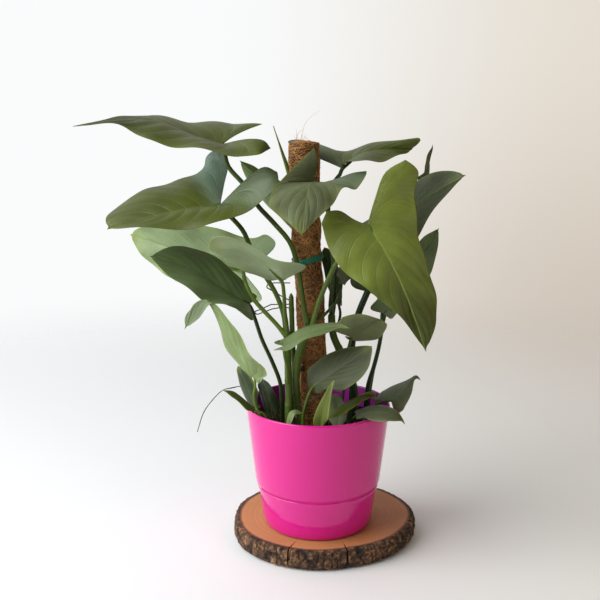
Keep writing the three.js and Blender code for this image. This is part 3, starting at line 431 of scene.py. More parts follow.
def spline(knots, points, u):
    """Cubic spans through points at given knots. The slope at a point is the mean of its two
    chords, each weighted by the other's span, and at an end it is that end's chord."""
    span = np.diff(knots)[:, None]
    chord = np.diff(points, axis=0) / span
    between = (chord[:-1] * span[1:] + chord[1:] * span[:-1]) / (span[1:] + span[:-1])
    slope = np.vstack([chord[:1], between, chord[-1:]])
    i = np.clip(np.searchsorted(knots, u, side="right") - 1, 0, len(knots) - 2)
    h = span[i]
    t = (u - knots[i])[:, None] / h
    return (
        points[i] * (1 + 2 * t) * (1 - t) ** 2
        + slope[i] * h * t * (1 - t) ** 2
        + points[i + 1] * t * t * (3 - 2 * t)
        + slope[i + 1] * h * t * t * (t - 1)
    )


def bezier(a, b, c, d, t):
    """A cubic curve from a to d that leaves towards b and arrives from c."""
    t = t[:, None]
    return a * (1 - t) ** 3 + b * 3 * t * (1 - t) ** 2 + c * 3 * t * t * (1 - t) + d * t**3


def even_path(points, shares):
    """A smooth curve through points, read at shares of its length. Its knots are spaced by the
    square root of the distance between points."""
    knots = sum_up(chords(points) ** 0.5)
    fine = spline(knots, points, np.linspace(0, knots[-1], 400))
    length = sum_up(chords(fine))
    return read_between(shares * length[-1], length, fine)


def bent_path(points, shares):
    """Straight runs between points with rounded bends, read at shares of the length: the
    polyline's running mean over a few hundredths of its length."""
    length = sum_up(chords(points))
    window = np.linspace(-0.012, 0.012, 7) * length[-1]
    at = np.clip(shares[:, None] * length[-1] + window, 0, length[-1])
    return read_between(at, length, points).mean(axis=1)


def rings_along(centres, radii, sides, lead=(0.3, 1.0, 0.2)):
    """Rings of points round one path (rings, 3) or a stack of them (..., rings, 3): centre +
    radius * (cos a * n + sin a * b), where n is the lead direction made square to the path.
    Both ends close on the path. Radii have the shape of the rings, or one more for the sides."""
    along = unit(np.gradient(centres, axis=-2))
    lead = np.broadcast_to(np.asarray(lead, float), along.shape)
    normal = unit(lead - along * (lead * along).sum(-1, keepdims=True))[..., None, :]
    across = np.cross(along[..., None, :], normal)
    angle = circle(sides)[:, None]
    radii = radii[..., None, None] if radii.ndim < centres.ndim else radii[..., None]
    middle = centres[..., None, :]
    rings = middle + (np.cos(angle) * normal + np.sin(angle) * across) * radii
    ends = [
        np.broadcast_to(middle[..., end, :, :], rings[..., :1, :, :].shape)
        for end in (slice(0, 1), slice(-1, None))
    ]
    return np.concatenate([ends[0], rings, ends[1]], axis=-3)


class Skin:
    """Grids of points in millimetres, gathered into one mesh in metres. Points that coincide are
    joined, so a row drawn to one point closes its end."""

    def __init__(self):
        self.points, self.faces, self.slots, self.uv, self.marks = [], [], [], [], {}
        self.count = 0

    def grid(self, points, wrap=False, slot=0, uv=None, **marks):
        """Adds a grid (rows, columns, 3), or a stack of them. wrap joins its last column to its
        first. uv and marks are numbers for each point, or for each row, or for all."""
        shape = points.shape[:-1]
        rows, columns = shape[-2:]
        i = np.arange(rows - 1)[:, None] * columns
        j = np.arange(columns if wrap else columns - 1)[None, :]
        k = (j + 1) % columns
        one = np.stack([i + j, i + k, i + k + columns, i + j + columns], -1).reshape(-1, 4)
        first = np.arange(int(np.prod(shape[:-2])))[:, None, None] * rows * columns
        faces = (one + first).reshape(-1, 4)
        self.points.append(points.reshape(-1, 3))
        self.faces.append(faces + self.count)
        self.slots.append(np.full(len(faces), slot))
        if uv is None:
            uv = np.linspace(0, 1, rows)[:, None], np.linspace(0, 1, columns)[None, :]
        self.uv.append(np.stack([np.broadcast_to(part, shape).ravel() for part in uv], -1))
        for name in sorted(set(self.marks) | set(marks)):
            parts = self.marks.setdefault(name, [np.zeros(self.count)] if self.count else [])
            parts.append(np.broadcast_to(marks.get(name, 0.0), shape).ravel())
        self.count += points.size // 3
        return self

    def mesh(self, name):
        """The mesh, its doubles joined, its quads with one flat side made triangles, and its
        faces turned out."""
        points, quads, slots, uv = map(
            np.concatenate, (self.points, self.faces, self.slots, self.uv))
        _, first, index = np.unique(
            np.round(points, JOIN_DIGITS), axis=0, return_index=True, return_inverse=True)
        index = index.reshape(-1)
        flat = index[quads] == np.roll(index[quads], -1, axis=1)
        rows = [np.flatnonzero(~flat.any(axis=1))]
        corners = [quads[rows[0]]]
        for side in range(4):
            rows.append(np.flatnonzero(flat[:, side] & (flat.sum(axis=1) == 1)))
            corners.append(np.delete(quads[rows[-1]], side, axis=1))
        mesh = bpy.data.meshes.new(name)
        faces = [face for part in corners for face in index[part].tolist()]
        mesh.from_pydata(points[first] * MM, [], faces)
        chosen = slots[np.concatenate(rows)].astype(np.int32)
        mesh.polygons.foreach_set("material_index", chosen)
        mesh.polygons.foreach_set("use_smooth", np.ones(len(faces), bool))
        loops = np.concatenate([part.ravel() for part in corners])
        mesh.uv_layers.new(name="pattern").data.foreach_set("uv", uv[loops].ravel())
        for mark, parts in self.marks.items():
            values = np.concatenate(parts)[first].astype(np.float32)
            mesh.attributes.new(mark, "FLOAT", "POINT").data.foreach_set("value", values)
        mesh.update()
        shell = bmesh.new()
        shell.from_mesh(mesh)
        bmesh.ops.recalc_face_normals(shell, faces=shell.faces)
        shell.to_mesh(mesh)
        shell.free()
        return mesh

    def build(self, name, *materials):
        """The mesh with its materials, as an object in the scene."""
        mesh = self.mesh(name)
        for material in materials:
            mesh.materials.append(material)
        piece = bpy.data.objects.new(name, mesh)
        bpy.context.scene.collection.objects.link(piece)
        return piece

    def stand_for(self, node, suffix, *materials):
        """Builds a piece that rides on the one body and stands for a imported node."""
        piece = self.build(f"{node}_{suffix}", *materials)
        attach(piece, "root")
        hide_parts(node)


# Materials


class Nodes:
    """A shader tree. node() adds any node, and the other methods are its shorthands."""

    def __init__(self, tree):
        self.tree = tree

    def node(self, kind, settings=None, sockets=None, output=0):
        """Adds a node with its settings and sockets, and gives one of its outputs."""
        node = self.tree.nodes.new(kind)
        for name, value in (settings or {}).items():
            setattr(node, name, value)
        for name, value in (sockets or {}).items():
            socket = node.inputs[name]
            if isinstance(value, Maths):
                self.tree.links.new(value.socket, socket)
            else:
                socket.default_value = (*value, 1.0) if socket.type == "RGBA" else value
        return Maths(self, node.outputs[output])

    def mark(self, name):
        """A number that the mesh's points carry."""
        return self.node("ShaderNodeAttribute", {"attribute_name": name}, output="Fac")

    def parts(self, vector):
        """The X, Y and Z of a vector."""
        split = self.node("ShaderNodeSeparateXYZ", None, {0: vector}).socket.node
        return [Maths(self, part) for part in split.outputs]

    def pattern(self):
        """The u and v that a grid was given."""
        return self.parts(self.node("ShaderNodeUVMap", {"uv_map": "pattern"}))[:2]

    def place(self):
        """Where the surface is, in its object's space."""
        return self.node("ShaderNodeTexCoord", output="Object")

    def noise(self, scale, detail=2.0, where=None, roughness=0.5, stretch=None):
        """Smooth noise from 0 to 1, in the object's space unless where is given."""
        where = where or self.place()
        if stretch:
            where = self.node("ShaderNodeMapping", None, {"Vector": where, "Scale": stretch})
        sockets = {"Vector": where, "Scale": scale, "Detail": detail, "Roughness": roughness}
        return self.node("ShaderNodeTexNoise", None, sockets)

    def blend(self, share, a, b):
        """Colour a turned into colour b by a share."""
        return self.node("ShaderNodeMix", {"data_type": "RGBA"}, {0: share, 6: a, 7: b}, output=2)

    def scaled(self, colour, factor):
        """A colour times a factor."""
        return self.node("ShaderNodeVectorMath", {"operation": "SCALE"}, {0: colour, 3: factor})

    def ramp(self, value, *stops):
        """A colour ramp through stops, each a position and a colour."""
        colours = self.node("ShaderNodeValToRGB", None, {0: value})
        elements = colours.socket.node.color_ramp.elements
        while len(elements) < len(stops):
            elements.new(0.5)
        for element, (position, colour) in zip(elements, stops):
            element.position = position
            element.color = (*colour, 1.0)
        return colours


class Surface(Nodes):
    """A material under construction."""

    def __init__(self, name, roughness, specular=0.5):
        self.material = bpy.data.materials.new(name)
        self.material.use_nodes = True
        super().__init__(self.material.node_tree)
        self.shader = self.tree.nodes["Principled BSDF"]
        self.shader.inputs["Roughness"].default_value = roughness
        self.shader.inputs["Specular IOR Level"].default_value = specular

    def feed(self, name, value):
        """Links a value to one of the shader's own sockets."""
        self.tree.links.new(value.socket, self.shader.inputs[name])

    def finish(self, colour, roughness, height, depth, strength):
        """The material with its colour, its roughness, and a bump of depth metres."""
        self.feed("Base Color", colour)
        self.feed("Roughness", roughness)
        sockets = {"Height": height, "Distance": depth, "Strength": strength}
        self.feed("Normal", self.node("ShaderNodeBump", None, sockets))
        return self.material


def mixed(a, b, share_a, share_b):
    """A colour made of shares of two others."""
    return tuple(share_a * p + share_b * q for p, q in zip(a, b))


# Leaves

FULL_SIZE = 180  # a blade with a rib this long has its veins and midrib at full height
CROWN = 0.07  # how far half a blade arches, as a share of its width
THIN_EDGE = 0.175  # half a blade's thickness at its margin
CHANNEL_DEPTH, CHANNEL_WIDTH = 0.35, 1.1  # the midrib's channel in the upper face
RIDGE_HEIGHT, RIDGE_WIDTH = 1.6, 1.4  # the midrib under the lower face
# Shares across half a blade, from the rib to the margin
ACROSS = np.array(
    [0, 0.02, 0.05, 0.1, 0.17, 0.26, 0.36, 0.47, 0.58, 0.69, 0.79, 0.88, 0.95, 0.985, 1])


def blade_edges(rib, margin, u, full, waypoints=()):
    """The inner and outer edge of half a blade at shares u. Ahead of the sinus they are the
    splines of the rib and the margin. Behind it, both are cubic curves from the lobe's tip, the
    wider the fuller it is: the inner one ends at the sinus, and the outer one joins the margin
    where the lobe bulges. Where waypoints are given, the inner one is a spline through them.
    The last part of the blade narrows into a beak."""
    outer = np.vstack([margin, rib[-1:]])
    knots = np.concatenate([[0], np.linspace(SINUS, 1, len(outer) - 1)])
    lobe, bulge, sinus = outer[0], outer[1], rib[0]
    axis, wide = lobe - sinus, bulge - sinus
    side = unit(wide - axis * wide.dot(axis) / axis.dot(axis))
    reach, back = np.linalg.norm(wide), np.linalg.norm(axis)
    if len(waypoints):
        stops = np.vstack([lobe, waypoints, sinus])
        inner_lobe = spline(np.linspace(0, SINUS, len(stops)), stops, np.minimum(u, SINUS))
    else:
        leave = lobe - side * (0.22 + 0.2 * full) * reach
        arrive = sinus + axis * 0.45 - side * (0.06 + 0.06 * full) * back
        inner_lobe = bezier(lobe, leave, arrive, sinus, np.minimum(u / SINUS, 1))
    slope = (spline(knots, outer, np.array([SINUS + 1e-3]))[0] - bulge) * 1e3
    leave = lobe + side * (0.3 + 0.22 * full) * reach
    arrive = bulge - slope * (1 + 0.9 * full) * SINUS / 3
    outer_lobe = bezier(lobe, leave, arrive, bulge, np.minimum(u / SINUS, 1))
    ahead, front = (u >= SINUS)[:, None], np.maximum(u, SINUS)
    inner = np.where(ahead, spline(np.linspace(SINUS, 1, len(rib)), rib, front), inner_lobe)
    outer = np.where(ahead, spline(knots, outer, front), outer_lobe)
    beak = 1 - 0.35 * rise(0.93, 0.99, u)[:, None]
    return inner, inner + (outer - inner) * beak


def half_edges(leaf, hand, u):
    """blade_edges of a leaf's left half, where hand is -1, or of its right half, where it is 1."""
    side = "right" if hand > 0 else "left"
    full = leaf["look"].full[hand > 0]
    return blade_edges(leaf["rib"], leaf[side], u, full, leaf.get(side + "_inner", ()))


def upward(leaf, hand, u):
    """Unit vectors up from half a blade: its way across times its way along."""
    (a, b), (c, d) = half_edges(leaf, hand, u), half_edges(leaf, hand, u + 0.02)
    return unit(np.cross(b - a, c - a + d - b)) * hand


def half_blade(leaf, hand, u, phase):
    """The middle surface of half a blade, its upward normals and its width. It is ruled from the
    inner edge to the outer one, crowned by CROWN * width * 4 * v * (1 - v), and its margin
    waves by height * v * v * sin(2 * pi * waves * u + phase) * sin(pi * u)."""
    look, v = leaf["look"], ACROSS
    inner, outer = half_edges(leaf, hand, u)
    up = upward(leaf, hand, np.clip(u, 0.03, 0.97))
    width = np.linalg.norm(outer - inner, axis=-1)
    crown = CROWN * width[:, None] * 4 * v * (1 - v)
    swing = np.sin(2 * np.pi * look.waves * u + phase) * np.sin(np.pi * u)
    lift = (crown + look.height * v**2 * swing[:, None])[..., None]
    points = inner[:, None] + (outer - inner)[:, None] * v[:, None] + up[:, None] * lift
    normals = unit(np.cross(np.gradient(points, axis=1), np.gradient(points, axis=0))) * hand
    normals[0], normals[-1] = normals[1].mean(axis=0), normals[-2].mean(axis=0)
    return points, unit(normals), width


def blade_rows(small):
    """Shares along a half blade: over the lobe, along the rib, and closer at the tip."""
    lobe, middle, tip = (8, 20, 8) if small else (14, 50, 12)
    return np.concatenate([
        np.linspace(0, SINUS, lobe),
        np.linspace(SINUS, 0.9, middle)[1:],
        np.linspace(0.9, 1, tip)[1:],
    ])


def add_blade(skin, leaf, thickness, relief, phase):
    """Both halves of a blade: an upper face sunk along the veins, a lower face with the midrib
    standing out by height * size * (1 - 0.7 * u) * exp(-(d / width)^2) at a distance d from it,
    and a wall round the edge."""
    look = leaf["look"]
    u, v = blade_rows(leaf["small"]), ACROSS
    row, column = u[:, None], v[None, :]
    halves = [half_blade(leaf, hand, u, phase + hand) for hand in (-1, 1)]
    shared = unit(halves[0][1][:, 0] + halves[1][1][:, 0])
    on_rib, on_lobe = u >= SINUS, u <= SINUS
    size = min(1.0, chords(leaf["rib"]).sum() / FULL_SIZE)
    ends = rise(0, 0.04, row) * (1 - rise(0.96, 1, row))
    ahead = rise(SINUS - 0.04, SINUS + 0.01, row) * (1 - 0.7 * row)
    lines = 1 - rise(0.0, 0.5, vein_distance(row, column))
    sunk = relief * size * ends * lines * np.sqrt(np.sin(np.pi * np.clip(v, 0, 1)))
    half = THIN_EDGE + (thickness / 2 - THIN_EDGE) * ends * (1 - v**4)
    young = np.clip(look.tip * rise(0.78, 1, row) + look.edge * rise(0.8, 1, column), 0, 1)
    # Painted shade: the tone darkens towards the tip, where the blade turns from the light.
    shade = look.tone * (1 - look.painted_tip_shade * rise(0.4, 0.95, row))
    for (points, normals, width), bloom in zip(halves, look.bloom):
        normals[on_rib, 0] = shared[on_rib]
        normals[-1] = shared[-1]
        distance = width[:, None] * v
        channel = CHANNEL_DEPTH * size * ahead * np.exp(-((distance / CHANNEL_WIDTH) ** 2))
        ridge = RIDGE_HEIGHT * size * ahead * np.exp(-((distance / RIDGE_WIDTH) ** 2))
        top = points + normals * (half - (sunk + channel))[..., None]
        under = points - normals * (half + (ridge + sunk * 0.6))[..., None]
        # The sheen mark is a pale reflection painted on the lobes, fading out ahead of them.
        facts = {
            "tone": shade, "young": young, "marks": look.marks, "light_rib": look.light_rib,
            "rib": distance, "bloom": bloom * (1 - rise(0.12, 0.34, row)),
        }
        for face, upper in ((top, 1.0), (under, 0.0)):
            skin.grid(face, uv=(row, column), upper=upper, **facts)
        wall = np.stack([top[:, -1], under[:, -1]], 1)
        skin.grid(wall, uv=(row, 1.0), upper=0.5, tone=look.tone, young=young[:, -1:])
        wall = np.stack([top[on_lobe, 0], under[on_lobe, 0]], 1)
        skin.grid(wall, uv=(row[on_lobe], 0.0), upper=0.5, tone=look.tone)


def add_stalk(skin, leaf):
    """The stalk: a tube from under the rib through the sinus to the stalk's foot. Its radius goes
    evenly from the blade's to the foot's, rises from 0.3 of that under the rib, and swells by a
    quarter into a sheath over its last tenth."""
    top, base = leaf["radii"]
    under_rib = np.array([0.27, SINUS] if leaf["small"] else [0.42, 0.3, SINUS])
    up = sum(upward(leaf, hand, np.array([0.3])) for hand in (-1, 1))
    path = np.vstack([half_edges(leaf, -1, under_rib)[0] - unit(up) * top * 0.7, leaf["stalk"]])
    shares = np.linspace(0, 1, 24 if leaf["small"] else 48)
    joint = chords(path[: len(under_rib)]).sum() / chords(path).sum()
    radii = (top + (base - top) * shares) * (0.3 + 0.7 * rise(0, joint, shares))
    radii = radii * (1 + 0.25 * rise(0.88, 1, shares))
    rings = rings_along(even_path(path, shares), radii, 12)
    skin.grid(rings, wrap=True, slot=1, tone=leaf["look"].stalk, upper=0.0)


# The potting mix

SOIL_TOP = 172
SOIL_RADIUS = 93.3


def soil_height(x, y):
    """The top of the potting mix: low bumps of smooth noise on its level, flat at the rim."""
    inner = np.clip((93 - np.hypot(x, y)) / 14, 0, 1)
    return SOIL_TOP - 1.5 + inner * (2.2 * rough_noise(x / 16 + 40, y / 16 + 40, 5, 3))


def add_soil(skin):
    """The mix itself: rings from its middle to the pot's wall, then down and in below."""
    angle, radius = circle(120), SOIL_RADIUS * np.linspace(0, 1, 48)[:, None]
    x, y = radius * np.cos(angle), radius * np.sin(angle)
    top = np.stack([x, y, soil_height(x, y)], -1)
    under = top[[-1, 0]] * 0.97
    under[..., 2] = SOIL_TOP - 24
    tone = 0.22 + 0.2 * rough_noise(x / 5 + 60, y / 5 + 60, 31, 3)
    skin.grid(np.concatenate([top, under]), wrap=True, tone=np.vstack([tone, 0 * tone[:2]]))


def turns(count, rng):
    """Matrices of random turns, most of them near level, from quaternions w, i, j, k."""
    w, i, j, k = unit(rng.normal(size=(count, 4)) * [1, 0.35, 0.35, 1]).T
    rows = (
        (1 - 2 * (j * j + k * k), 2 * (i * j - k * w), 2 * (i * k + j * w)),
        (2 * (i * j + k * w), 1 - 2 * (i * i + k * k), 2 * (j * k - i * w)),
        (2 * (i * k - j * w), 2 * (j * k + i * w), 1 - 2 * (i * i + j * j)),
    )
    return np.stack([np.stack(row, -1) for row in rows], -2)


def add_chips(skin, count, rng):
    """Chips of bark: stretched balls of five rings, the inner three pushed in and out at random,
    each turned at random and dropped on the potting mix."""
    radius = 90 * np.sqrt(rng.uniform(0.01, 1, count))
    angle = rng.uniform(0, 2 * np.pi, count)
    x, y = radius * np.cos(angle), radius * np.sin(angle)
    half = [rng.uniform(low, high, count) for low, high in ((2, 6.5), (1.4, 3.6), (0.7, 1.9))]
    a, b = np.linspace(0, np.pi, 5)[:, None], circle(6)
    ball = np.stack([np.cos(a) + 0 * b, np.sin(a) * np.cos(b), np.sin(a) * np.sin(b)], -1)
    bumps = rng.uniform(0.75, 1.25, (count, 5, 6, 1))
    bumps[:, [0, -1]] = 1
    local = ball * np.stack(half, -1)[:, None, None] * bumps
    turned = np.einsum("nab,nrcb->nrca", turns(count, rng), local)
    places = np.stack([x, y, soil_height(x, y) + rng.uniform(-0.2, 2.2, count)], -1)
    tone = rng.uniform(0, 1, (count, 1, 1)) ** 1.4
    skin.grid(turned + places[:, None, None], wrap=True, tone=tone, chip=1.0)


# The coir pole

POLE_FOOT, POLE_TOP = POLE_PATH[0, 2], POLE_PATH[-1, 2]
POLE_RADII = (17.3, 19.6)  # at the foot and at the top, under the loose fibres
TOP_REACH = 18.6  # of the hairs on the pole's cut top


def pole_middle(z):
    """The pole's centre line at heights z."""
    return read_between(z, POLE_PATH[:, 2], POLE_PATH)


def pole_radius(angle, z):
    """The pole's radius: growing from foot to top, with lumps of noise that repeat round it."""
    share = (z - POLE_FOOT) / (POLE_TOP - POLE_FOOT)
    lumps = rough_noise(angle / (2 * np.pi) * 6, z / 17 + 30, 21, 3, wrap=6)
    return POLE_RADII[0] + (POLE_RADII[1] - POLE_RADII[0]) * share + 0.9 * lumps


def add_pole(skin):
    """The pole under its hairs: its radius less 0.5 mm, drawn to a point at both ends."""
    z = np.concatenate([[POLE_FOOT], np.linspace(POLE_FOOT + 1, POLE_TOP - 1, 190), [POLE_TOP]])
    angle = circle(72)
    radius = pole_radius(angle, z[:, None]) - 0.5
    middle = pole_middle(z)[:, None]
    wall = middle + outward(angle) * radius[..., None]
    low, high = (np.repeat(end, len(angle), axis=1) for end in (middle[:1], middle[-1:]))
    skin.grid(np.concatenate([low, wall, high]), wrap=True)


def add_hairs(skin, centres, thick, tone, lead=(0.3, 1.0, 0.2)):
    """Three-sided hairs along a stack of centre lines."""
    rings = rings_along(centres, np.broadcast_to(thick, centres.shape[:2]), 3, lead)
    skin.grid(rings, wrap=True, tone=tone, fibre=1.0)


def add_mat(skin, count, rng):
    """Loose coir hairs matted on the pole. Each is an arc that starts at its own angle and height
    and crosses the pole at its own slope: angle = a + s * cos(slope) / 19 + bend * s * |s|, z = h +
    s * sin(slope), and it lies on the pole's radius, lifting off it towards its ends."""
    one = (count, 1)
    steps = np.linspace(-0.5, 0.5, 6)
    s = steps * rng.uniform(14, 44, one)
    a = rng.uniform(0, 2 * np.pi, one)
    h = rng.uniform(POLE_FOOT + 60, POLE_TOP - 2, one)
    slope = rng.normal(0, 0.75, one) + 0.35 * rng.choice([-1, 1], one)
    angle = a + s * np.cos(slope) / 19 + rng.normal(0, 0.0022, one) * s * np.abs(s)
    z = np.minimum(h + s * np.sin(slope), POLE_TOP - 0.5)
    lift = rng.uniform(-0.25, 0.55, one) + rng.exponential(0.35, one) * (2 * steps) ** 2
    out = outward(angle)
    centres = pole_middle(z) + out * (pole_radius(angle, z) + lift)[..., None]
    thick = rng.uniform(0.2, 0.5, one) * (1 - 0.5 * (2 * np.abs(steps)) ** 3)
    add_hairs(skin, centres, thick, rng.uniform(0, 1, (count, 1, 1)), out)


def add_top_mat(skin, count, rng):
    """Hairs matted across the pole's cut top, flat arcs at random angles within its edge."""
    one = (count, 1)
    steps = np.linspace(-0.5, 0.5, 6)
    x, y, z = POLE_PATH[-1]
    angle = rng.uniform(0, 2 * np.pi, one)
    offset = rng.uniform(-0.97, 0.97, one) * TOP_REACH
    s = steps * (np.sqrt(TOP_REACH**2 - offset**2) * rng.uniform(0.4, 1, one) * 2)
    bow = rng.normal(0, 3, one) * (1 - (2 * steps) ** 2) * (1 - np.abs(offset) / TOP_REACH)
    px = s * np.cos(angle) - (offset + bow) * np.sin(angle)
    py = s * np.sin(angle) + (offset + bow) * np.cos(angle)
    heap = 1 - (px**2 + py**2) / TOP_REACH**2
    pz = z - 1.2 + heap * rng.uniform(0.5, 3.5, one) + rng.uniform(0, 1, one)
    centres = np.stack([x + px, y + py, pz], -1)
    thick = rng.uniform(0.16, 0.34, one)
    add_hairs(skin, centres, thick, rng.uniform(0, 1, (count, 1, 1)), (0, 0, 1))


def add_stray_hairs(skin, count, rng):
    """Hairs that stand up out of the pole's top: parabolas that lean more the higher they go. One
    is long and two are half as long."""
    one = (count, 1)
    t = np.linspace(0, 1, 8)
    x, y, z = POLE_PATH[-1]
    angle = rng.uniform(0, 2 * np.pi, one)
    start = rng.uniform(0, 16, one)
    height = rng.uniform(5, 15, one)
    height[0] = 43
    height[1:3] = rng.uniform(16, 22, (2, 1))
    lean = rng.normal(0, 0.6, one) * height
    turn = angle + rng.normal(0, 0.9, one)
    kink = rng.normal(0, 0.06, one) * height * np.sin(2 * np.pi * t)
    px = x + start * np.cos(angle) + lean * np.cos(turn) * t**2 + kink
    py = y + start * np.sin(angle) + lean * np.sin(turn) * t**2
    centres = np.stack([px, py, z - 2 + height * t], -1)
    add_hairs(skin, centres, 0.3 * (1 - 0.6 * t), rng.uniform(0.2, 0.6, (count, 1, 1)))


# The slice of log

SLICE_HEIGHT = 28
SLICE_CENTRE = (9, 15)
SLICE_HALF = (129, 117)
CRACKS = ((-1.989, 95), (-1.315, 88))  # the angle, and the radius where it starts
TOP_SHARES = (0, 0.2, 0.4, 0.6, 0.68, 0.74, 0.79, 0.84, 0.88, 0.91, 0.94, 0.96, 0.975)


def slice_outline(a):
    """The slice's radius at an angle: an oval with three slow waves."""
    oval = 1 / np.hypot(np.cos(a) / SLICE_HALF[0], np.sin(a) / SLICE_HALF[1])
    return oval + 2.4 * np.sin(2 * a - 0.6) + 1.2 * np.cos(3 * a) + 0.7 * np.sin(7 * a + 1)


def bark_levels():
    """Heights down the bark, and how far it stands out there: a belly of 0.5 + sin(pi * z /
    height) between two rounded edges."""
    above = [(SLICE_HEIGHT, -3.4), (27.6, -1.6), (26.6, -0.6), (25.4, 0.1)]
    belly = [(z, 0.5 + np.sin(np.pi * z / SLICE_HEIGHT)) for z in np.linspace(24.4, 4, 19)]
    return above + belly + [(3, -0.2), (1.8, -1.2), (0.7, -2.6), (0, -4)]


def bark_relief(a, z):
    """Bark at an angle and height: plates of wide noise cut by furrows where fine noise crosses
    zero, from about -1 in a furrow to 1 on a plate."""
    turn = a / (2 * np.pi)
    sway = 0.35 * rough_noise(turn * 60, z / 6 + 50, 44, 2, wrap=60)
    plates = rough_noise(turn * 96, z / 7.5 + 9, 41, 3, wrap=96)
    furrow = np.abs(steady_noise(turn * 120, z / 11 + 70 + sway, 47, wrap=120))
    return 0.55 * plates + 0.5 * (np.minimum(furrow / 0.28, 1) * 2 - 1) + sway


def add_slice(skin):
    """The slice: rows from the middle of its sawn top to the edge, down the bark and back to the
    middle below. The bark's radius is outline + level + 1.8 * relief, less near both edges. Each
    crack is a notch whose half width grows from 0 to 1.3 mm within 24 mm of where it starts."""
    angles = [np.linspace(-np.pi, np.pi, 960, endpoint=False)]
    angles += [middle + np.linspace(-0.022, 0.022, 23) for middle, _ in CRACKS]
    a = np.unique(np.round(np.concatenate(angles), 6))
    none, outline = 0 * a, slice_outline(a)
    ragged = steady_noise(a / (2 * np.pi) * 150, none + 3, 50, wrap=150)
    rim = outline - 3.4 - 0.9 * ragged**2
    rows = [(rim * share, none + SLICE_HEIGHT, none) for share in TOP_SHARES]
    for z, out in bark_levels():
        relief = bark_relief(a, none + z)
        strength = 1.8 * min(1, (SLICE_HEIGHT - z) / 2 + 0.15) * min(1, z / 3 + 0.4)
        edge = rim if z == SLICE_HEIGHT else outline + out + strength * relief
        rows.append((edge, none + z if z in (0, SLICE_HEIGHT) else z + 0.5 * relief, relief))
    rows.append((none, none, none))
    radius, height, depth = np.array(rows).transpose(1, 0, 2)
    on_top = height > SLICE_HEIGHT - 0.01
    for middle, start in CRACKS:
        reach = np.clip((radius - start) / 24, 0, 1)
        wander = 0.006 * np.sin(radius / 5 + middle * 9) * reach
        gap = np.abs(a - middle - wander) * np.maximum(radius, 1)
        notch = np.clip(1 - gap / ((reach + 1e-6) * 1.3), 0, 1) * (reach > 0) * (height > 6)
        cut = np.minimum(notch * 1.6, 1)
        radius = np.where(on_top, radius, radius - cut * 5 * rise(6, 16, height))
        height = np.where(on_top, height - cut * (3 + 9 * reach), height)
        # The notch also lowers the depth mark, which paints shade into the cracks.
        depth = depth - 3 * notch
    x, y = SLICE_CENTRE[0] + radius * np.cos(a), SLICE_CENTRE[1] + radius * np.sin(a)
    ring = np.ones(len(rows))
    ring[: len(TOP_SHARES)] = TOP_SHARES
    points = np.stack([x, y, np.maximum(height, 0)], -1)
    share = np.linspace(0, 1, len(rows))[:, None]
    skin.grid(points, wrap=True, uv=(share, 0.0), depth=depth, ring=ring[:, None])


# The pot and the tie

POT_BASE = 28.3
# Radius and height above the pot's base: the underside, the wall with its seam and the rim
POT_OUTSIDE = (
    (0, 0), (70, 0), (72.6, 0.4), (74.6, 1.6), (75.4, 3.4), (77.2, 10), (79.6, 27), (81.8, 44),
    (83.7, 50.5), (85.4, 57), (85.35, 57.4), (84.9, 57.7), (84.9, 58.3), (85.7, 58.6), (87, 63.4),
    (87.3, 64.6), (90.3, 90), (93.4, 117), (96.6, 144), (99.5, 168.5), (99.6, 170.4),
    (99.2, 171.4), (98.3, 172), (97.6, 172),
)
# From the rim down to the floor
POT_INSIDE = (
    (97.6, 172), (97, 171.4), (96.8, 170), (90.6, 117), (84.4, 64), (79, 44), (72.6, 2.8), (0, 2.8),
)
BAND_SECTION = np.array([
    (0, -3.4), (0.25, -3.5), (0.75, -3.5), (1, -3.3), (1, 3.3), (0.75, 3.5), (0.25, 3.5), (0, 3.4),
])
BAND_MIDDLE = (-15, 402)
BAND_TILT = 0.21


def lathe(profile, sides):
    """A profile of (radius, height) above the pot's base, turned about the z axis."""
    r, z = np.array(profile).T[..., None]
    angle = circle(sides)
    return np.stack([r * np.cos(angle), r * np.sin(angle), z + POT_BASE + 0 * angle], -1)


def add_band(skin):
    """The flat tie: its section carried round the pole on a slightly uneven, wavy circle, and
    the whole tilted."""
    a = circle(96)[:, None]
    r = 20.7 + 0.25 * np.sin(3 * a + 1) + 0.15 * np.sin(7 * a) + BAND_SECTION[:, 0] * 0.9
    z = BAND_SECTION[:, 1] + 0.35 * np.sin(2 * a + 2)
    x, cosine, sine = r * np.cos(a), math.cos(BAND_TILT), math.sin(BAND_TILT)
    points = np.stack([
        BAND_MIDDLE[0] + x * cosine - z * sine,
        r * np.sin(a),
        BAND_MIDDLE[1] + x * sine + z * cosine,
    ], -1)
    skin.grid(np.concatenate([points, points[:1]]), wrap=True)


# Finishes


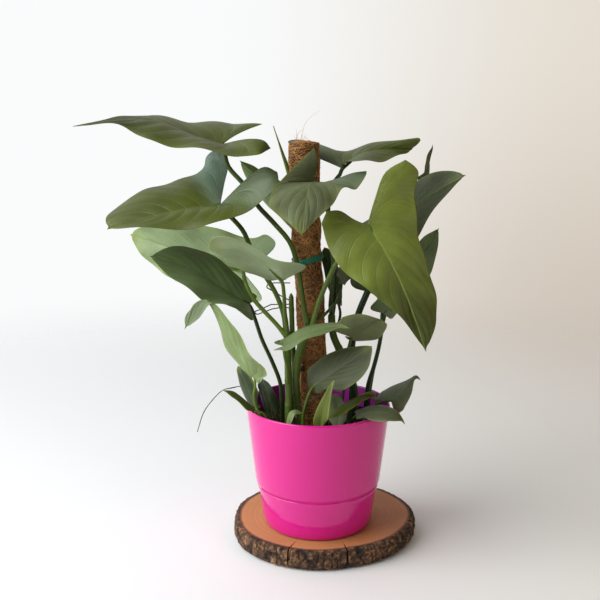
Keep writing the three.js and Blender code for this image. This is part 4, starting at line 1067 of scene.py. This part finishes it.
def leaf_finish(name, upper, lower, roughness):
    """A leaf's surface: its upper and lower colour, a pale reflection painted on some lobes,
    lighter veins fanned by the blade's own u and v, mottling, young yellow-green at tip and edge,
    small brown marks, and fine relief."""
    s = Surface(name, roughness, specular=0.28)
    u, v = s.pattern()
    top = s.mark("upper")
    broad, fine = s.noise(28, 3), s.noise(160, 4, roughness=0.65)
    distance = vein_distance(u, v)
    vein = (1 - rise(0.0, 0.075, distance)) * (1 - rise(0.72, 0.98, v)) * rise(0.02, 0.14, u)
    between = 1 - rise(0.0, 0.5, abs(fract(distance * 9.0) - 0.5))
    midrib = (1 - rise(0.5, 1.7, s.mark("rib"))) * rise(0.19, 0.22, u)
    spots = rise(0.69, 0.74, s.noise(210, 2)) * rise(0.52, 0.62, s.noise(26, 1))
    brightness = 0.42 + broad * 0.78 + fine * 0.2 + between * 0.12
    vein_colour = mixed([max(upper) * part for part in (1, 1.05, 0.75)], lower, 0.55, 0.45)
    # The tone mark carries each leaf's tone with its painted shade towards the tip.
    green = s.scaled(s.blend(top, lower, upper), s.mark("tone") * brightness)
    for share, colour in (
        # Painted sheen: a pale bluish reflection painted on the lobes.
        (s.mark("bloom"), (0.18, 0.26, 0.19)),
        (vein * 0.1, vein_colour),
        (midrib * s.mark("light_rib"), (0.22, 0.30, 0.06)),
        (s.mark("young") * (0.75 + broad * 0.4), (0.40, 0.46, 0.08)),
        (spots * s.mark("marks"), (0.22, 0.13, 0.03)),
    ):
        green = s.blend(share, green, colour)
    height = fine * 0.5 - vein * 0.8 - between * 0.18 + broad * 0.3
    dull = roughness + (fine - 0.5) * 0.16 + (1 - top) * 0.12
    return s.finish(green, dull, height, 0.0006, 0.55)


def stalk_finish(name, dark, light, roughness):
    """Stalk and stem skin: dark to light green by the piece's shade, streaked along its length."""
    s = Surface(name, roughness, specular=0.3)
    streak = s.noise(90, 3, stretch=(1.0, 1.0, 0.12))
    green = s.blend(s.mark("tone") * (0.75 + streak * 0.5), dark, light)
    speck = rise(0.66, 0.72, s.noise(420, 2))
    green = s.blend(speck * 0.5, green, (0.36, 0.42, 0.16))
    return s.finish(green, roughness + (streak - 0.5) * 0.2, streak, 0.0005, 0.4)


def pot_finish(name, colour, roughness):
    """Moulded plastic: one colour with a very fine skin, duller where it was handled."""
    s = Surface(name, roughness)
    skin, wear = s.noise(700, 2), s.noise(9, 4)
    dull = roughness + (wear - 0.5) * 0.10 + (skin - 0.5) * 0.03
    return s.finish(s.scaled(colour, 0.94 + wear * 0.12), dull, skin, 0.0001, 0.12)


def soil_finish(name, dark, light):
    """Potting mix: near-black crumbs with brown and tan bark chips."""
    s = Surface(name, 0.9)
    grain, clump = s.noise(260, 5, roughness=0.7), s.noise(60, 3)
    tone = s.mark("tone") * 0.7 + (grain - 0.5) * 0.9 + s.mark("chip") * 0.08
    colour = s.ramp(tone, (0.0, dark), (0.45, mixed(dark, light, 0.6, 0.25)), (1.0, light))
    return s.finish(colour, 0.8 + clump * 0.2, grain * 0.7 + clump, 0.002, 0.8)


def coir_finish(name, dark, light):
    """Coir: hollows under the hairs painted near-black to dark brown as shade, red-brown hairs, and
    the odd straw-coloured one.
    """
    s = Surface(name, 0.75)
    tone = s.mark("tone") * 0.75 + (s.noise(80, 3) - 0.5) * 0.5
    hair = s.ramp(tone, (0.0, dark), (0.45, mixed(dark, light, 0.62, 0.62)), (1.0, light))
    # Painted shade: the pole under the hairs is near-black to dark brown, for the shade between
    # them.
    hollow_shade = s.blend(s.noise(180, 4), (0.035, 0.016, 0.006), dark)
    grain = s.noise(500, 3, stretch=(1.0, 1.0, 0.3))
    colour = s.blend(s.mark("fibre"), hollow_shade, hair)
    return s.finish(colour, 0.65 + tone * 0.2, grain, 0.0008, 0.7)


def wood_finish(name, colour):
    """A slice of log: sawn wood with growth rings and pores, a red-brown line of inner bark,
    cracks painted near-black as shade, and dark bark with lighter flaked plates, darker in its
    furrows partly by its own colour and partly by painted shade."""
    s = Surface(name, 0.6)
    ring, depth = s.mark("ring"), s.mark("depth")
    wander, pores = s.noise(14, 3), s.noise(480, 3, roughness=0.7)
    across = ring + wander * 0.02
    rings, fine_rings = (
        s.noise(1.0, detail, s.node("ShaderNodeCombineXYZ", None, {0: across * scale}))
        for detail, scale in ((1, 46.0), (2, 160.0))
    )
    bands = rise(0.3, 0.7, rings) * 0.26 + fine_rings * 0.3
    wood = s.scaled(colour, 0.62 + bands + pores * 0.24 + wander * 0.14)
    warm = tuple(part * share for part, share in zip(colour, (0.72, 0.55, 0.5)))
    wood = s.blend(rise(0.4, 0.75, s.noise(11, 3)) * 0.5, wood, warm)
    inner_bark = rise(0.962, 0.972, ring + (wander - 0.5) * 0.006)
    wood = s.blend(inner_bark * 0.85, wood, (0.115, 0.045, 0.022))
    flakes, plates = s.noise(230, 5, roughness=0.7), s.noise(75, 3)
    # Darker in the furrows by the depth mark: partly the bark's own colour, partly painted shade.
    bark = s.ramp(
        depth * 0.28 + 0.22 + (flakes - 0.5) * 1.7 + (plates - 0.5) * 0.6,
        (0.0, (0.010, 0.006, 0.004)), (0.33, (0.07, 0.034, 0.016)), (0.55, (0.19, 0.09, 0.038)),
        (0.78, (0.42, 0.23, 0.10)), (1.0, (0.62, 0.45, 0.25)))
    is_bark = rise(0.984, 0.992, ring)
    # Painted shade: the cracks are painted near-black, on the wood but not the bark.
    crack_shade = rise(0.2, 1.2, -depth) * (1 - is_bark)
    final = s.blend(crack_shade, s.blend(is_bark, wood, bark), (0.02, 0.010, 0.006))
    height = pores * (1 - is_bark) * 0.3 + flakes * is_bark
    return s.finish(final, 0.55 + is_bark * 0.3 + pores * 0.1, height, 0.0015, 0.6)


def plain_finish(name, colour, roughness, spread=0.2, scale=200):
    """A root, wire or band: one colour varied by noise, with the same noise as relief."""
    s = Surface(name, roughness)
    grain = s.noise(scale, 4)
    tint = s.scaled(colour, 1 - spread + grain * 2 * spread)
    return s.finish(tint, roughness + (grain - 0.5) * 0.2, grain, 0.0005, 0.5)


# The add-on

NODE_GAP = 34  # from one thickened node of a stem to the next


def colour_property(name, description, *default):
    """A colour that a user may change."""
    return FloatVectorProperty(
        name=name, description=description, default=default, size=3, subtype="COLOR", min=0, max=1)


def thickness_property(name, description, default, low, high):
    """A small length in metres that a user may change."""
    return FloatProperty(
        name=name, description=description, default=default, min=low, max=high, precision=4,
        subtype="DISTANCE", unit="LENGTH")


class PlantLeafSettings(PropertyGroup):
    """Sizes and colours of the leaves, stalks and stems."""

    thickness: thickness_property(
        "Blade thickness", "Thickness of a blade at its middle", 0.0007, 0.0002, 0.003)
    relief: thickness_property(
        "Vein relief", "How deep the side veins are sunk", 0.001, 0, 0.002)
    olive: colour_property("Olive", "Upper face of the green leaves", 0.126, 0.153, 0.025)
    olive_under: colour_property(
        "Olive underside", "Lower face of the green leaves", 0.19, 0.24, 0.09)
    silver: colour_property("Silver", "Upper face of the grey-green leaves", 0.185, 0.215, 0.095)
    silver_under: colour_property(
        "Silver underside", "Lower face of the grey-green leaves", 0.24, 0.29, 0.16)
    dark: colour_property("Dark", "Upper face of the dark leaves", 0.058, 0.085, 0.032)
    dark_under: colour_property(
        "Dark underside", "Lower face of the dark leaves", 0.13, 0.17, 0.10)
    pale: colour_property("Pale", "Upper face of the pale leaves", 0.32, 0.43, 0.155)
    pale_under: colour_property(
        "Pale underside", "Lower face of the pale leaves", 0.36, 0.46, 0.24)
    stalk_dark: colour_property("Dark stalk", "Stalks in their darkest shade", 0.013, 0.032, 0.005)
    stalk_light: colour_property("Light stalk", "Stalks in their lightest shade", 0.17, 0.25, 0.03)


class PlantPotSettings(PropertyGroup):
    """Sizes and colours of the pot, the potting mix, the pole and the slice."""

    pot: colour_property("Pot", "The pot's plastic outside", 0.70, 0.011, 0.245)
    # The inside is the same plastic, painted darker and more purple as the shade inside the pot.
    pot_inside_shade: colour_property("Pot inside", "The pot's plastic inside", 0.25, 0.004, 0.2)
    gloss: FloatProperty(
        name="Pot roughness", description="Roughness of the pot's plastic", default=0.13,
        min=0, max=1, subtype="FACTOR")
    sides: IntProperty(
        name="Pot sides", description="Faces round the pot", default=160, min=24, max=400)
    chips: IntProperty(
        name="Bark chips", description="Chips on the potting mix", default=480, min=0, max=3000)
    fibres: IntProperty(
        name="Coir hairs", description="Hairs matted on the pole", default=3000, min=0, max=6000)
    soil_dark: colour_property("Dark mix", "Wet crumbs of the potting mix", 0.012, 0.008, 0.005)
    soil_light: colour_property("Light mix", "Dry chips of the potting mix", 0.27, 0.14, 0.06)
    coir_dark: colour_property("Dark coir", "Coir hairs in their darkest shade", 0.14, 0.055, 0.014)
    coir_light: colour_property(
        "Light coir", "Coir hairs in their lightest shade", 0.95, 0.48, 0.14)
    band: colour_property("Band", "The tie round the pole", 0.0, 0.16, 0.09)
    wood: colour_property("Wood", "The slice's sawn face", 0.46, 0.205, 0.075)


class PlantOperator:
    """What the operators share."""

    bl_options = {"REGISTER", "UNDO"}


class PLANT_OT_slice(PlantOperator, Operator):
    """Build the slice of log"""

    bl_idname = "plant.slice"
    bl_label = "Slice of log"

    def execute(self, context):
        skin = Skin()
        add_slice(skin)
        skin.stand_for("wood_slice", "log", wood_finish("log", context.scene.plant_pot.wood))
        return {"FINISHED"}


class PLANT_OT_pot(PlantOperator, Operator):
    """Build the plastic pot"""

    bl_idname = "plant.pot"
    bl_label = "Pot"

    def execute(self, context):
        p = context.scene.plant_pot
        skin = Skin().grid(lathe(POT_OUTSIDE, p.sides), wrap=True)
        skin.grid(lathe(POT_INSIDE, p.sides), wrap=True, slot=1)
        outside = pot_finish("pot plastic", p.pot, p.gloss)
        # Painted shade: the inside wall takes the darker colour for the shade within the pot.
        inside = pot_finish("pot plastic inside", p.pot_inside_shade, p.gloss + 0.2)
        skin.stand_for("pot", "wall", outside, inside)
        return {"FINISHED"}


class PLANT_OT_soil(PlantOperator, Operator):
    """Build the potting mix with its bark chips"""

    bl_idname = "plant.soil"
    bl_label = "Potting mix"

    def execute(self, context):
        p = context.scene.plant_pot
        skin = Skin()
        add_soil(skin)
        add_chips(skin, p.chips, np.random.default_rng(17))
        finish = soil_finish("potting mix", p.soil_dark, p.soil_light)
        skin.stand_for("potting_mix", "top", finish)
        return {"FINISHED"}


class PLANT_OT_pole(PlantOperator, Operator):
    """Build the coir pole with its matted and stray hairs"""

    bl_idname = "plant.pole"
    bl_label = "Coir pole"

    def execute(self, context):
        p = context.scene.plant_pot
        skin, rng = Skin(), np.random.default_rng(12)
        add_pole(skin)
        add_mat(skin, p.fibres, rng)
        add_top_mat(skin, 150, rng)
        add_stray_hairs(skin, 11, rng)
        skin.stand_for("coir_pole", "mat", coir_finish("coir", p.coir_dark, p.coir_light))
        return {"FINISHED"}


class PLANT_OT_band(PlantOperator, Operator):
    """Build the flat tie round the pole"""

    bl_idname = "plant.band"
    bl_label = "Tie band"

    def execute(self, context):
        skin = Skin()
        add_band(skin)
        finish = plain_finish("band", context.scene.plant_pot.band, 0.5, 0.15, 90)
        skin.stand_for("tie_band", "ribbon", finish)
        return {"FINISHED"}


class PLANT_OT_stems(PlantOperator, Operator):
    """Build the climbing stems and the rolled young leaf"""

    bl_idname = "plant.stems"
    bl_label = "Stems"

    def execute(self, context):
        p = context.scene.plant_leaves
        finish = stalk_finish("stem", p.stalk_dark, p.stalk_light, 0.4)
        shares = np.linspace(0, 1, 72)
        for number, (name, (path, (foot, top))) in enumerate(STEMS.items()):
            centres = even_path(read_points(path), shares)
            past_node = (shares * chords(centres).sum() / NODE_GAP + 0.3 * number) % 1 - 0.5
            swell = 1 + 0.14 * np.exp(-((past_node * NODE_GAP / 2.6) ** 2))
            radii = (foot + (top - foot) * shares) * swell
            radii = radii * np.sqrt(np.clip((1 - shares) / 0.03, 0.04, 1))
            skin = Skin().grid(rings_along(centres, radii, 16), wrap=True, tone=0.45)
            skin.stand_for(name, "stem", finish)
        shares = np.linspace(0, 1, 60)
        roll = 0.6 + 3.2 * rise(0, 0.45, shares) - 1.4 * rise(0.5, 1, shares)
        edge = np.cos(circle(14) - 9 * shares[:, None]) ** 7
        rings = rings_along(even_path(SPEAR, shares), roll[:, None] * (1 + 0.14 * edge), 14)
        Skin().grid(rings, wrap=True, tone=0.6).stand_for("leaf_spear", "roll", finish)
        return {"FINISHED"}


class PLANT_OT_strands(PlantOperator, Operator):
    """Build the aerial roots and the two wire ties"""

    bl_idname = "plant.strands"
    bl_label = "Roots and wires"

    def execute(self, context):
        shares = np.linspace(0, 1, 60)
        root = plain_finish("root", (0.075, 0.05, 0.035), 0.7, 0.5, 260)
        wire = plain_finish("wire", (0.012, 0.014, 0.013), 0.4)
        for finish, strands, way in ((root, ROOTS, even_path), (wire, WIRES, bent_path)):
            for number, (name, (path, (start, end))) in enumerate(strands.items()):
                thick = start + (end - start) * shares
                if strands is ROOTS:
                    thick *= 1 + 0.18 * steady_noise(shares * 30, 0 * shares, 60 + number)
                rings = rings_along(way(read_points(path), shares), thick, 8)
                Skin().grid(rings, wrap=True).stand_for(name, "strand", finish)
        return {"FINISHED"}


class PLANT_OT_leaves(PlantOperator, Operator):
    """Build every leaf: a blade and its stalk"""

    bl_idname = "plant.leaves"
    bl_label = "Leaves"

    def execute(self, context):
        p = context.scene.plant_leaves
        finishes = {
            kind: leaf_finish(f"leaf {kind}", getattr(p, kind), getattr(p, kind + "_under"), dull)
            for kind, dull in (("olive", 0.34), ("silver", 0.46), ("dark", 0.38), ("pale", 0.42))
        }
        stalk = stalk_finish("stalk", p.stalk_dark, p.stalk_light, 0.32)
        for number, (name, leaf) in enumerate(LEAVES.items()):
            skin = Skin()
            add_blade(skin, leaf, p.thickness / MM, p.relief / MM, number * WAVE_SHIFT)
            add_stalk(skin, leaf)
            skin.stand_for(name, "blade", finishes[leaf["colour"]], stalk)
        return {"FINISHED"}


class PLANT_OT_stage(PlantOperator, Operator):
    """Set up the floor, the lights, the surroundings and the camera"""

    bl_idname = "plant.stage"
    bl_label = "Stage"

    def execute(self, context):
        scene = context.scene
        scene.view_settings.view_transform = "Standard"
        self.floor()
        self.surroundings(scene)
        for name, place, size, power, colour in (
            ("key", (-1.7, -0.7, 1.5), 1.9, 55, (0.95, 0.98, 1.0)),
            ("warm", (1.6, -1.5, 1.0), 1.0, 5, (1.0, 0.86, 0.72)),
        ):
            lamp = bpy.data.lights.new(name, "AREA")
            lamp.size, lamp.energy, lamp.color = size, power, colour
            light = bpy.data.objects.new(name, lamp)
            scene.collection.objects.link(light)
            light.location = place
            way = Vector((0, 0, 0.2)) - Vector(place)
            light.rotation_euler = way.to_track_quat("-Z", "Y").to_euler()
        lens = bpy.data.cameras.new("camera")
        lens.lens, lens.sensor_width, lens.clip_end = 54, 36, 50
        camera = bpy.data.objects.new("camera", lens)
        camera.location = (-0.025, -1.196, 0.595)
        camera.rotation_euler = (math.radians(78.2), 0, 0)
        scene.collection.objects.link(camera)
        scene.camera = camera
        return {"FINISHED"}

    def floor(self):
        """A round floor whose edge fades into the surroundings, painted warmer and darker towards
        the right for the shade away from the left-hand light.
        """
        radius = np.array([0, 0.5, 1, 2, 3])[:, None, None]
        s = Surface("floor", 0.55)
        x, y, _ = s.parts(s.place())
        s.feed("Alpha", 1 - rise(0.45, 1.9, (x * x + y * y) ** 0.5))
        # Painted shade: warmer and darker towards the right, away from the key light.
        s.feed("Base Color", s.blend(rise(-0.3, 0.6, x), (0.9, 0.9, 0.9), (0.86, 0.81, 0.75)))
        points = outward(circle(96)) * radius - (0, 0, 0.0004)
        floor = Skin().grid(points / MM, wrap=True).build("floor", s.material)

    def surroundings(self, scene):
        """A pale room: what the camera sees is a backdrop with the room's light painted on it,
        white on the left to warm grey shade on the right and darker low on the right, and what
        lights the plant is a bright left side and a dimmer right side."""
        scene.world = bpy.data.worlds.new("room")
        scene.world.use_nodes = True
        s = Nodes(scene.world.node_tree)
        x, y, z = s.parts(s.node("ShaderNodeTexCoord"))
        right = rise(-0.12, 0.34, x)
        # Painted light on the backdrop: white on the left, warm grey shade on the right, darker low
        # down.
        seen = s.blend(right, (0.955, 0.97, 0.975), (0.78, 0.72, 0.635))
        low_right_shade = right * (1 - rise(-0.3, 0.1, z)) * 0.8
        seen = s.blend(low_right_shade, seen, (0.56, 0.48, 0.41))
        level = rise(-0.1, 0.95, -x) * 1.08 + rise(0.1, 0.9, y) * 0.42 + rise(0.2, 1.0, z) * 0.12
        tint = s.blend(rise(-0.6, 0.6, x), (0.9, 0.96, 1.0), (1.0, 0.9, 0.8))
        is_camera = s.node("ShaderNodeLightPath")
        final = s.blend(is_camera, s.scaled(tint, level + 0.1), seen)
        background = s.tree.nodes["Background"]
        s.tree.links.new(final.socket, background.inputs["Color"])
        background.inputs["Strength"].default_value = 1.0


class PLANT_PT_panel(Panel):
    """The settings and a button for each operator"""

    bl_label = "Plant"
    bl_idname = "PLANT_PT_panel"
    bl_space_type = "VIEW_3D"
    bl_region_type = "UI"
    bl_category = "Plant"

    def draw(self, context):
        for settings in (context.scene.plant_leaves, context.scene.plant_pot):
            for name in settings.__annotations__:
                self.layout.prop(settings, name)
        for operator in OPERATORS:
            self.layout.operator(operator.bl_idname)


OPERATORS = (
    PLANT_OT_slice, PLANT_OT_pot, PLANT_OT_soil, PLANT_OT_pole, PLANT_OT_band, PLANT_OT_stems,
    PLANT_OT_strands, PLANT_OT_leaves, PLANT_OT_stage,
)
CLASSES = (PlantLeafSettings, PlantPotSettings, *OPERATORS, PLANT_PT_panel)


def register():
    for kind in CLASSES:
        bpy.utils.register_class(kind)
    bpy.types.Scene.plant_leaves = PointerProperty(type=PlantLeafSettings)
    bpy.types.Scene.plant_pot = PointerProperty(type=PlantPotSettings)


def unregister():
    del bpy.types.Scene.plant_leaves
    del bpy.types.Scene.plant_pot
    for kind in reversed(CLASSES):
        bpy.utils.unregister_class(kind)


def main():
    """Builds every piece through its operator."""
    register()
    for operator in OPERATORS:
        group, name = operator.bl_idname.split(".")
        getattr(getattr(bpy.ops, group), name)()


if __name__ == "__main__":
    main()
